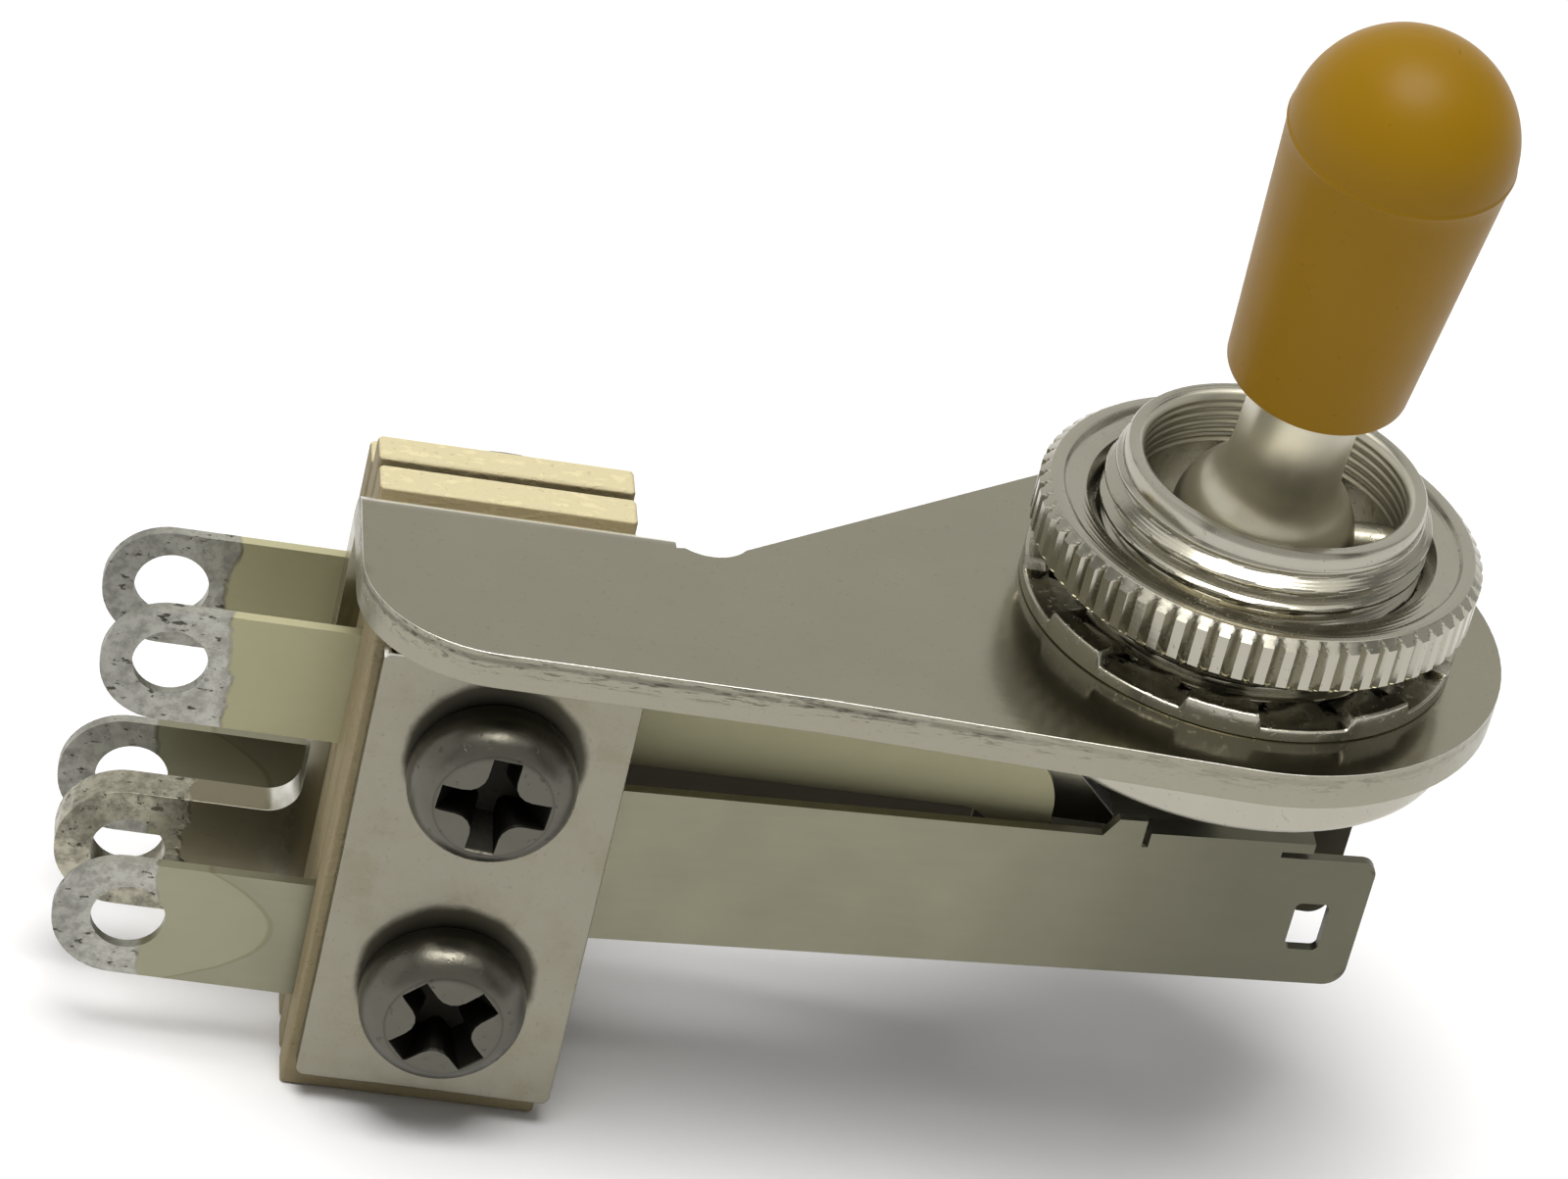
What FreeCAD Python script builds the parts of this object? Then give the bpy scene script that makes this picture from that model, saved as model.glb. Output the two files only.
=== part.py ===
import FreeCAD, Part

import math
import os

import Sketcher

# Right-angle selector toggle with a bushing mount and a stack of leaf contacts.
# Millimetres, +Z out along the bushing. Heights are counted from the plate's top face while a piece is drawn.
# Every piece is then lowered, so that the row's origin lies on the bushing's axis, halfway up its thread lead.
# The stack of leaves lies towards -X. "Near" pieces are on the -Y side and "far" pieces on the +Y side.
# The lever is stored thrown towards -Y, so that its foot holds the far outer leaf open.

DOCUMENT = FreeCAD.newDocument("selector_toggle")
SHEET = DOCUMENT.addObject("Spreadsheet::Sheet", "Sizes")

SIZES = [
    # frame
    ("frame_gauge", 1.4),
    ("round_end_radius", 9.86),
    ("plate_left_reach", 31.75),
    ("plate_near_reach", 9.06),
    ("plate_near_corner", 4.75),
    ("near_edge_knee_reach", 15.5),
    ("near_edge_knee_depth", 9.12),
    ("back_edge_start_reach", 18.02),
    ("back_edge_start_depth", 0.44),
    ("bend_outer_radius", 1.55),
    ("tab_right_reach", 20.5),
    ("tab_bottom", 20.9),
    ("relief_reach", 19.25),
    ("relief_ahead", 0.38),
    ("relief_radius", 1.5),
    ("arm_top", 4.0),
    ("arm_bottom", 9.4),
    ("arm_end_reach", 2.43),
    ("arm_corner_drop", 8.96),
    ("ground_lug_top", 13.67),
    ("ground_lug_bottom", 18.65),
    ("ground_lug_reach", 40.15),
    ("ground_lug_root_fillet", 1.2),
    ("ground_eye_reach", 37.5),
    ("ground_eye_drop", 16.2),
    ("eye_radius", 1.335),
    # bushing
    ("thread_radius", 5.95),
    ("thread_lead_radius", 5.76),
    ("thread_lead_bottom", 4.5),
    ("bushing_top", 6.3),
    ("bushing_top_chamfer", 0.45),
    ("bushing_bore_radius", 4.82),
    ("bushing_bore_bottom", 4.2),
    ("bushing_undercut_radius", 5.05),
    ("bushing_undercut_bottom", 1.2),
    ("bushing_lower_bore_radius", 4.3),
    ("bushing_flange_radius", 8.82),
    ("bushing_flange_height", 2.05),
    ("bushing_flange_chamfer", 0.35),
    ("bushing_hole_clearance", 0.05),
    # nut
    ("nut_bottom", 2.06),
    ("nut_height", 2.18),
    ("nut_radius", 8.11),
    ("nut_face_radius", 7.76),
    ("nut_edge_chamfer_height", 0.3),
    ("nut_dish_radius", 7.3),
    ("nut_dish_depth", 0.22),
    ("nut_thread_chamfer", 0.4),
    ("nut_clearance", 0.05),
    ("knurl_count", 64),
    ("knurl_depth", 0.34),
    ("knurl_half_width", 0.27),
    # lock washer
    ("washer_radius", 7.95),
    ("washer_ring_inner_radius", 6.95),
    ("washer_gauge", 0.5),
    ("washer_height", 1.0),
    ("washer_raised_angle", 20.0),
    ("washer_raised_count", 8),
    ("washer_phase", -12.0),
    ("washer_tooth_count", 16),
    ("washer_tooth_reach", 6.1),
    ("washer_tooth_width", 1.5),
    ("washer_tooth_twist", 18.0),
    # lever and pivot
    ("pivot_height", 3.61),
    ("lever_lean", 9.88),
    ("ball_radius", 3.38),
    ("shaft_radius", 2.05),
    ("shaft_top", 16.0),
    ("neck_radius", 2.5),
    ("neck_top", 3.9),
    ("stem_radius", 1.6),
    ("stem_bottom", 8.6),
    ("pin_radius", 0.8),
    ("pin_half_length", 5.5),
    ("pin_clearance", 0.03),
    # tip
    ("tip_bottom", 7.6),
    ("tip_bottom_radius", 3.29),
    ("tip_shoulder", 18.3),
    ("tip_radius", 4.0),
    ("tip_bottom_chamfer", 0.15),
    ("tip_ridge", 0.05),
    ("tip_ridge_height", 0.2),
    ("tip_bore_depth", 8.8),
    ("tip_bore_clearance", 0.02),
    # actuator
    ("hub_radius", 2.3),
    ("hub_top", 5.0),
    ("hub_bottom", 9.3),
    ("hub_chamfer", 0.5),
    ("hub_bore_clearance", 0.02),
    ("foot_half_width", 2.0),
    ("foot_gauge", 1.0),
    ("foot_top", 8.9),
    ("foot_bottom", 13.1),
    ("foot_corner", 0.6),
    # stack
    ("stack_left_reach", 31.05),
    ("stack_right_reach", 21.75),
    ("stack_bottom", 21.75),
    ("near_stack_top", 1.6),
    ("far_stack_top", 0.15),
    ("insulator_gauge", 1.5),
    ("insulator_chamfer", 0.12),
    ("leaf_gauge", 0.42),
    ("clamp_gauge", 0.8),
    ("clamp_left_reach", 30.65),
    ("clamp_right_reach", 21.4),
    ("clamp_top", 2.05),
    ("clamp_bottom", 20.65),
    ("clamp_corner", 0.3),
    ("far_clamp_top", 1.2),
    ("screw_reach", 26.1),
    ("screw_middle_drop", 11.35),
    ("screw_half_pitch", 4.85),
    ("screw_radius", 1.45),
    ("screw_clearance", 0.1),
    ("tapped_clearance", 0.02),
    ("screw_end", 0.6),
    ("head_radius", 3.0),
    ("head_height", 2.1),
    ("head_rounding", 1.35),
    ("recess_half_length", 1.75),
    ("recess_half_width", 0.4),
    ("recess_depth", 1.3),
    ("recess_socket_radius", 0.95),
    ("tube_radius", 1.95),
    ("tube_clearance", 0.05),
    # leaves, in the stack
    ("leaf_clamped_inset", 0.6),
    ("leaf_clamped_top", 2.6),
    ("leaf_clamped_bottom", 20.7),
    ("leaf_band_margin", 0.6),
    # inner leaves
    ("inner_lug_top", 4.3),
    ("inner_lug_bottom", 9.0),
    ("inner_lug_reach", 39.9),
    ("inner_lug_corner", 2.3),
    ("inner_eye_inset", 2.45),
    ("inner_eye_drop", 6.55),
    ("inner_blade_top", 4.3),
    ("inner_blade_end_top", 5.7),
    ("inner_blade_bottom", 8.2),
    ("inner_blade_end_bottom", 8.62),
    ("inner_blade_end_reach", 4.94),
    ("inner_blade_corner", 3.0),
    ("inner_finger_left_reach", 6.95),
    ("inner_finger_fillet", 1.4),
    ("inner_finger_bottom", 12.5),
    ("inner_finger_corner", 0.7),
    ("inner_lean", 0.0519),
    # outer leaves
    ("outer_lug_top", 13.95),
    ("outer_lug_bottom", 18.85),
    ("outer_lug_reach", 40.1),
    ("outer_lug_corner", 2.4),
    ("outer_eye_inset", 2.7),
    ("outer_eye_drop", 16.35),
    ("outer_blade_top", 8.1),
    ("outer_step_reach", 3.1),
    ("outer_step_drop", 8.65),
    ("outer_step_top_reach", 2.6),
    ("outer_ear_top", 7.9),
    ("outer_ear_end_reach", 1.55),
    ("outer_relief_bottom", 9.05),
    ("outer_relief_width", 0.25),
    ("flange_drop", 8.43),
    ("flange_width", 0.55),
    ("flange_end", 5.0),
    ("web_end", 3.8),
    ("outer_tail_top", 9.1),
    ("outer_tail_end", 7.6),
    ("outer_tail_top_corner", 0.6),
    ("outer_tail_bottom_corner", 0.8),
    ("outer_blade_bottom", 14.73),
    ("tail_hole_left", 4.95),
    ("tail_hole_right", 6.25),
    ("tail_hole_top", 11.1),
    ("tail_hole_bottom", 13.2),
    ("tail_hole_corner", 0.25),
    ("closed_lean", 0.1087),
    ("open_lean", 0.0367),
    # contact buttons
    ("contact_reach", 5.92),
    ("contact_drop", 11.2),
    ("contact_radius", 0.8),
    ("contact_rim_height", 0.2),
    ("contact_height", 0.285),
]

for row, (alias, number) in enumerate(SIZES, start=1):
    SHEET.set(f"A{row}", alias)
    SHEET.set(f"B{row}", str(number))
    SHEET.setAlias(f"B{row}", alias)
DOCUMENT.recompute()


class Size:
    """A length that knows its value now and the sheet expression that gives it."""

    def __init__(self, value, text):
        self.value = value
        self.text = text

    def _join(self, other, sign, swap=False):
        other = size(other)
        left, right = (other, self) if swap else (self, other)
        value = {
            "+": lambda: left.value + right.value,
            "-": lambda: left.value - right.value,
            "*": lambda: left.value * right.value,
            "/": lambda: left.value / right.value,
        }[sign]()
        return Size(value, f"({left.text} {sign} {right.text})")

    def __add__(self, other):
        return self._join(other, "+")

    def __radd__(self, other):
        return self._join(other, "+", True)

    def __sub__(self, other):
        return self._join(other, "-")

    def __rsub__(self, other):
        return self._join(other, "-", True)

    def __mul__(self, other):
        return self._join(other, "*")

    def __rmul__(self, other):
        return self._join(other, "*", True)

    def __truediv__(self, other):
        return self._join(other, "/")

    def __neg__(self):
        return Size(-self.value, f"(-1 * {self.text})")


def size(value):
    if isinstance(value, Size):
        return value
    return Size(float(value), repr(float(value)))


class Sheet:
    """Sizes by name, as in S.frame_gauge."""

    def __getattr__(self, alias):
        return Size(float(SHEET.get(alias)), f"Sizes.{alias}")


S = Sheet()
ZERO = size(0)
AXIS_X = FreeCAD.Vector(1, 0, 0)
AXIS_Z = FreeCAD.Vector(0, 0, 1)
NEAR = -1
FAR = 1
ORIGIN_HEIGHT = (S.thread_lead_bottom + S.bushing_top - S.bushing_top_chamfer) / 2


# Sketch helpers


def vector(x, y):
    return FreeCAD.Vector(size(x).value, size(y).value, 0)


def new_body(label):
    body = DOCUMENT.addObject("PartDesign::Body", label)
    body.Label = label
    place(body)
    return body


def origin_feature(body, role):
    for feature in body.Origin.OriginFeatures:
        if feature.Role == role:
            return feature
    raise ValueError(f"{body.Label} has no {role}")


def new_sketch(body, role, name, offset=None):
    sketch = body.newObject("Sketcher::SketchObject", name)
    sketch.AttachmentSupport = [(origin_feature(body, role), "")]
    sketch.MapMode = "FlatFace"
    if offset is not None:
        offset = size(offset)
        sketch.AttachmentOffset = FreeCAD.Placement(
            FreeCAD.Vector(0, 0, offset.value), FreeCAD.Rotation()
        )
        sketch.setExpression("AttachmentOffset.Base.z", offset.text)
    return sketch


def bind(sketch, kind, places, value):
    """Adds a dimension that follows the sheet."""
    value = size(value)
    index = sketch.addConstraint(Sketcher.Constraint(kind, *places, value.value))
    name = f"d{index}"
    sketch.renameConstraint(index, name)
    sketch.setExpression(f"Constraints.{name}", value.text)


def fix_point(sketch, geometry, position, x, y):
    bind(sketch, "DistanceX", (-1, 1, geometry, position), x)
    bind(sketch, "DistanceY", (-1, 1, geometry, position), y)


def draw_circle(sketch, x, y, radius):
    radius = size(radius)
    shape = Part.Circle(vector(x, y), AXIS_Z, radius.value)
    circle = sketch.addGeometry(shape, False)
    fix_point(sketch, circle, 3, x, y)
    bind(sketch, "Radius", (circle,), radius)


def corner_arc(before, corner, after, radius):
    """The arc that rounds a corner: its shape, and whether it runs along the outline."""
    back = (before - corner).normalize()
    ahead = (after - corner).normalize()
    half = back.getAngle(ahead) / 2
    middle = (back + ahead).normalize()
    centre = corner + middle * (radius / math.sin(half))
    reach = radius / math.tan(half)
    start = corner + back * reach - centre
    end = corner + ahead * reach - centre
    forward = start.cross(end).z > 0
    first, last = (start, end) if forward else (end, start)
    angles = [math.atan2(v.y, v.x) for v in (first, last)]
    if angles[1] < angles[0]:
        angles[1] += 2 * math.pi
    circle = Part.Circle(centre, AXIS_Z, radius)
    return Part.ArcOfCircle(circle, *angles), forward, centre + start, centre + end


def draw_outline(sketch, corners):
    """A closed outline through corners (x, y) or (x, y, rounding radius)."""
    corners = [(c[0], c[1], size(c[2]) if len(c) > 2 else None) for c in corners]
    points = [vector(x, y) for x, y, _ in corners]
    count = len(points)
    arcs = {}
    for i, (_, _, radius) in enumerate(corners):
        if radius is not None:
            arcs[i] = corner_arc(
                points[i - 1], points[i], points[(i + 1) % count], radius.value
            )
    lines = []
    for i in range(count):
        j = (i + 1) % count
        start = arcs[i][3] if i in arcs else points[i]
        end = arcs[j][2] if j in arcs else points[j]
        lines.append(sketch.addGeometry(Part.LineSegment(start, end), False))
    for i, (x, y, radius) in enumerate(corners):
        into, out = lines[i - 1], lines[i]
        if radius is None:
            sketch.addConstraint(Sketcher.Constraint("Coincident", into, 2, out, 1))
            fix_point(sketch, out, 1, x, y)
            continue
        arc = sketch.addGeometry(arcs[i][0], False)
        first, last = (1, 2) if arcs[i][1] else (2, 1)
        mark = sketch.addGeometry(Part.Point(points[i]), True)
        fix_point(sketch, mark, 1, x, y)
        for line in (into, out):
            sketch.addConstraint(
                Sketcher.Constraint("PointOnObject", mark, 1, line)
            )
        sketch.addConstraint(Sketcher.Constraint("Tangent", into, 2, arc, first))
        sketch.addConstraint(Sketcher.Constraint("Tangent", arc, last, out, 1))
        bind(sketch, "Radius", (arc,), radius)


def rectangle(left, bottom, right, top, corner=None):
    ends = [(left, bottom), (right, bottom), (right, top), (left, top)]
    return [(*end, corner) if corner is not None else end for end in ends]


# Feature helpers


def pad(body, sketch, name, length, reverse=False):
    DOCUMENT.recompute()
    feature = body.newObject("PartDesign::Pad", name)
    feature.Profile = sketch
    feature.Length = size(length).value
    feature.setExpression("Length", size(length).text)
    feature.Reversed = reverse
    body.Tip = feature
    DOCUMENT.recompute()
    return feature


def pocket(body, sketch, name, depth=None, reverse=False):
    """Cuts from the sketch against its normal, through all when no depth is given."""
    DOCUMENT.recompute()
    before = body.Shape.Volume
    feature = body.newObject("PartDesign::Pocket", name)
    feature.Profile = sketch
    feature.Reversed = reverse
    if depth is None:
        feature.Type = "ThroughAll"
    else:
        feature.Length = size(depth).value
        feature.setExpression("Length", size(depth).text)
    body.Tip = feature
    DOCUMENT.recompute()
    if not body.Shape.Volume < before:
        raise ValueError(f"{name} cuts nothing from {body.Label}")
    return feature


def revolve(body, sketch, name):
    DOCUMENT.recompute()
    feature = body.newObject("PartDesign::Revolution", name)
    feature.Profile = sketch
    feature.ReferenceAxis = (sketch, ["V_Axis"])
    feature.Angle = 360
    body.Tip = feature
    DOCUMENT.recompute()
    return feature


def add_sphere(body, name, radius, height, lowest):
    """A ball on the body's Z axis, kept from the latitude lowest upwards."""
    ball = body.newObject("PartDesign::AdditiveSphere", name)
    ball.Radius = radius.value
    ball.setExpression("Radius", radius.text)
    ball.Angle1 = lowest
    ball.Placement.Base.z = height.value
    ball.setExpression("Placement.Base.z", height.text)
    body.Tip = ball
    DOCUMENT.recompute()
    return ball


def polar(body, feature, name, count):
    pattern = body.newObject("PartDesign::PolarPattern", name)
    pattern.Originals = [feature]
    pattern.Axis = (origin_feature(body, "Z_Axis"), [""])
    pattern.Angle = 360
    pattern.Occurrences = round(count.value)
    pattern.setExpression("Occurrences", count.text)
    body.Tip = pattern
    DOCUMENT.recompute()
    return pattern


def place(body, x=ZERO, y=ZERO, z=ZERO, axis=None, angle=None):
    """Places a body by sheet expressions, turned about an axis through its own origin."""
    z = z - ORIGIN_HEIGHT
    base = FreeCAD.Vector(size(x).value, size(y).value, size(z).value)
    turn = FreeCAD.Rotation()
    if axis is not None:
        turn = FreeCAD.Rotation(axis, size(angle).value)
    body.Placement = FreeCAD.Placement(base, turn)
    for letter, value in zip("xyz", (x, y, z)):
        body.setExpression(f"Placement.Base.{letter}", size(value).text)
    if axis is not None:
        body.setExpression("Placement.Rotation.Angle", size(angle).text)
    DOCUMENT.recompute()


def slab(body, name, corners, side, inner, gauge):
    """A flat piece in the stack, from the distance inner outwards on one side."""
    inner = size(inner)
    sketch = new_sketch(body, "XZ_Plane", f"{name}_outline", -side * inner)
    draw_outline(sketch, corners)
    return pad(body, sketch, name, gauge, reverse=side == FAR)


def through_y(body, name, draw):
    """Cuts what draw(sketch) outlines in XZ right through the body along Y."""
    sketch = new_sketch(body, "XZ_Plane", f"{name}_outline", S.bushing_flange_radius)
    draw(sketch)
    return pocket(body, sketch, name)


def screw_drops():
    return (
        -(S.screw_middle_drop - S.screw_half_pitch),
        -(S.screw_middle_drop + S.screw_half_pitch),
    )


def screw_holes(body, radius):
    def draw(sketch):
        for drop in screw_drops():
            draw_circle(sketch, -S.screw_reach, drop, radius)

    through_y(body, f"{body.Label}_screw_holes", draw)


# Distances out from the middle plane of the stack

HALF_FRAME = S.frame_gauge / 2
INNER_LEAF = HALF_FRAME + S.insulator_gauge
MIDDLE_INSULATOR = INNER_LEAF + S.leaf_gauge
OUTER_LEAF = MIDDLE_INSULATOR + S.insulator_gauge
OUTER_INSULATOR = OUTER_LEAF + S.leaf_gauge
CLAMP = OUTER_INSULATOR + S.insulator_gauge
CLAMP_FACE = CLAMP + S.clamp_gauge
TUBE_HOLE = S.tube_radius + S.tube_clearance


# Frame: one folded sheet with the plate, the tab down the stack, the stop arm and the ground lug


def tangent_point(point, radius, side):
    """Where a line from the point touches the circle about the origin."""
    reach = math.hypot(point.x, point.y)
    angle = math.atan2(point.y, point.x) + side * math.acos(radius / reach)
    return FreeCAD.Vector(radius * math.cos(angle), radius * math.sin(angle), 0)


def draw_plate(sketch):
    bend = HALF_FRAME - S.bend_outer_radius
    left = -S.plate_left_reach
    knee = (-S.near_edge_knee_reach, -S.near_edge_knee_depth)
    back = (-S.back_edge_start_reach, -S.back_edge_start_depth)
    points = [vector(*knee), vector(*back)]
    radius = S.round_end_radius.value
    near_touch = tangent_point(points[0], radius, 1)
    back_touch = tangent_point(points[1], radius, -1)
    arc = Part.ArcOfCircle(
        Part.Circle(FreeCAD.Vector(), AXIS_Z, radius),
        math.atan2(near_touch.y, near_touch.x),
        math.atan2(back_touch.y, back_touch.x),
    )
    near_line = sketch.addGeometry(Part.LineSegment(points[0], near_touch), False)
    round_end = sketch.addGeometry(arc, False)
    back_line = sketch.addGeometry(Part.LineSegment(back_touch, points[1]), False)
    add = sketch.addConstraint
    add(Sketcher.Constraint("Coincident", round_end, 3, -1, 1))
    bind(sketch, "Radius", (round_end,), S.round_end_radius)
    add(Sketcher.Constraint("Tangent", near_line, 2, round_end, 1))
    add(Sketcher.Constraint("Tangent", round_end, 2, back_line, 1))
    fix_point(sketch, near_line, 1, *knee)
    fix_point(sketch, back_line, 2, *back)
    corner = (left, -S.plate_near_reach)
    rounding = S.plate_near_corner
    shape, forward, start, end = corner_arc(
        vector(left, bend), vector(*corner), points[0], rounding.value
    )
    bend_point = vector(left, bend)
    tab_point = vector(-S.tab_right_reach, bend)
    lines = [
        (points[1], tab_point),
        (tab_point, bend_point),
        (bend_point, start),
        (end, points[0]),
    ]
    drawn = [sketch.addGeometry(Part.LineSegment(*ends), False) for ends in lines]
    round_corner = sketch.addGeometry(shape, False)
    first, last = (1, 2) if forward else (2, 1)
    mark = sketch.addGeometry(Part.Point(vector(*corner)), True)
    fix_point(sketch, mark, 1, *corner)
    add(Sketcher.Constraint("Coincident", back_line, 2, drawn[0], 1))
    add(Sketcher.Constraint("Coincident", drawn[0], 2, drawn[1], 1))
    add(Sketcher.Constraint("Coincident", drawn[1], 2, drawn[2], 1))
    fix_point(sketch, drawn[1], 1, -S.tab_right_reach, bend)
    fix_point(sketch, drawn[2], 1, left, bend)
    for line in (drawn[2], drawn[3]):
        add(Sketcher.Constraint("PointOnObject", mark, 1, line))
    add(Sketcher.Constraint("Tangent", drawn[2], 2, round_corner, first))
    add(Sketcher.Constraint("Tangent", round_corner, last, drawn[3], 1))
    bind(sketch, "Radius", (round_corner,), rounding)
    add(Sketcher.Constraint("Coincident", drawn[3], 2, near_line, 1))


def frame():
    body = new_body("frame")
    plate = new_sketch(body, "XY_Plane", "plate_outline")
    draw_plate(plate)
    pad(body, plate, "plate", S.frame_gauge, reverse=True)

    fold = new_sketch(body, "YZ_Plane", "fold_outline", -S.plate_left_reach)
    inner_bend = S.bend_outer_radius - S.frame_gauge
    draw_outline(
        fold,
        [
            (HALF_FRAME - S.bend_outer_radius, ZERO),
            (HALF_FRAME - S.bend_outer_radius, -S.frame_gauge),
            (-HALF_FRAME, -S.frame_gauge, inner_bend / 2),
            (-HALF_FRAME, -S.tab_bottom),
            (HALF_FRAME, -S.tab_bottom),
            (HALF_FRAME, ZERO, S.bend_outer_radius * 0.98),
        ],
    )
    pad(body, fold, "fold", S.plate_left_reach - S.tab_right_reach)

    slope_start = S.arm_end_reach + S.arm_corner_drop - S.arm_top
    slab(
        body,
        "stop_arm",
        [
            (-S.tab_right_reach - 1, -S.arm_top),
            (-slope_start, -S.arm_top),
            (-S.arm_end_reach, -S.arm_corner_drop),
            (-S.arm_end_reach, -S.arm_bottom),
            (-S.tab_right_reach - 1, -S.arm_bottom),
        ],
        FAR,
        -HALF_FRAME,
        S.frame_gauge,
    )

    lug_corner = (S.ground_lug_bottom - S.ground_lug_top) * 0.49
    slab(
        body,
        "ground_lug",
        [
            (-S.ground_lug_reach, -S.ground_lug_bottom, lug_corner),
            (-S.plate_left_reach + 1, -S.ground_lug_bottom),
            (-S.plate_left_reach + 1, -S.ground_lug_top + S.ground_lug_root_fillet),
            (-S.plate_left_reach, -S.ground_lug_top + S.ground_lug_root_fillet * 2),
            (-S.plate_left_reach, -S.ground_lug_top, S.ground_lug_root_fillet),
            (-S.ground_lug_reach, -S.ground_lug_top, lug_corner),
        ],
        FAR,
        -HALF_FRAME,
        S.frame_gauge,
    )

    relief = new_sketch(body, "XY_Plane", "relief_outline")
    draw_circle(relief, -S.relief_reach, S.relief_ahead, S.relief_radius)
    pocket(body, relief, "relief", S.arm_top)

    hole = new_sketch(body, "XY_Plane", "bushing_hole_outline")
    draw_circle(hole, ZERO, ZERO, S.thread_radius + S.bushing_hole_clearance)
    pocket(body, hole, "bushing_hole", S.frame_gauge)

    screw_holes(body, TUBE_HOLE)

    def draw_eye(sketch):
        draw_circle(sketch, -S.ground_eye_reach, -S.ground_eye_drop, S.eye_radius)

    through_y(body, "ground_eye", draw_eye)
    return body


# Bushing, nut and washer


def bushing():
    body = new_body("bushing")
    under = -S.frame_gauge
    bottom = under - S.bushing_flange_height
    profile = new_sketch(body, "XZ_Plane", "bushing_profile")
    draw_outline(
        profile,
        [
            (S.bushing_lower_bore_radius, bottom),
            (S.bushing_flange_radius - S.bushing_flange_chamfer, bottom),
            (S.bushing_flange_radius, bottom + S.bushing_flange_chamfer),
            (S.bushing_flange_radius, under),
            (S.thread_radius, under),
            (S.thread_radius, S.thread_lead_bottom),
            (S.thread_lead_radius, S.thread_lead_bottom),
            (S.thread_lead_radius, S.bushing_top - S.bushing_top_chamfer),
            (S.thread_lead_radius - S.bushing_top_chamfer, S.bushing_top),
            (S.bushing_bore_radius, S.bushing_top),
            (S.bushing_bore_radius, S.bushing_bore_bottom),
            (S.bushing_undercut_radius, S.bushing_bore_bottom),
            (S.bushing_undercut_radius, S.bushing_undercut_bottom),
            (S.bushing_lower_bore_radius, S.bushing_undercut_bottom),
        ],
    )
    revolve(body, profile, "bushing_turned")
    cross = new_sketch(body, "YZ_Plane", "pin_hole_outline", -S.bushing_flange_radius)
    draw_circle(cross, ZERO, S.pivot_height, S.pin_radius)
    pocket(body, cross, "pin_hole", reverse=True)
    return body


def knurled_nut():
    body = new_body("knurled_nut")
    bore = S.thread_radius + S.nut_clearance
    top = S.nut_bottom + S.nut_height
    floor = top - S.nut_dish_depth
    edge = S.nut_edge_chamfer_height
    profile = new_sketch(body, "XZ_Plane", "nut_profile")
    draw_outline(
        profile,
        [
            (bore, S.nut_bottom),
            (S.nut_face_radius, S.nut_bottom),
            (S.nut_radius, S.nut_bottom + edge),
            (S.nut_radius, top - edge),
            (S.nut_face_radius, top),
            (S.nut_dish_radius, top),
            (bore + S.nut_thread_chamfer, floor),
            (bore, floor - S.nut_thread_chamfer),
        ],
    )
    revolve(body, profile, "nut_turned")
    groove = new_sketch(body, "XY_Plane", "knurl_outline", top + 1)
    root = S.nut_radius - S.knurl_depth
    mouth = S.nut_radius * 2 - root
    draw_outline(
        groove,
        [
            (root, ZERO),
            (mouth, -2 * S.knurl_half_width),
            (mouth, 2 * S.knurl_half_width),
        ],
    )
    cut = pocket(body, groove, "knurl_groove")
    polar(body, cut, "knurl", S.knurl_count)
    return body


def draw_sector(sketch, inner, outer, angle):
    """A piece of a ring, centred on the sketch's X axis, angle degrees wide."""
    half = math.radians(angle.value) / 2
    arcs = []
    for radius in (inner, outer):
        circle = Part.Circle(FreeCAD.Vector(), AXIS_Z, radius.value)
        arcs.append(sketch.addGeometry(Part.ArcOfCircle(circle, -half, half), False))
        sketch.addConstraint(Sketcher.Constraint("Coincident", arcs[-1], 3, -1, 1))
        bind(sketch, "Radius", (arcs[-1],), radius)
    for end, sign in ((1, -1), (2, 1)):
        ends = [
            FreeCAD.Vector(
                radius.value * math.cos(half), sign * radius.value * math.sin(half), 0
            )
            for radius in (inner, outer)
        ]
        line = sketch.addGeometry(Part.LineSegment(*ends), False)
        for arc, spot, radius in zip(arcs, (1, 2), (inner, outer)):
            sketch.addConstraint(Sketcher.Constraint("Coincident", line, spot, arc, end))
            rise = Size(
                sign * radius.value * math.sin(half),
                f"({sign} * {radius.text} * sin({angle.text} / 2))",
            )
            bind(sketch, "DistanceY", (-1, 1, arc, end), rise)


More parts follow.
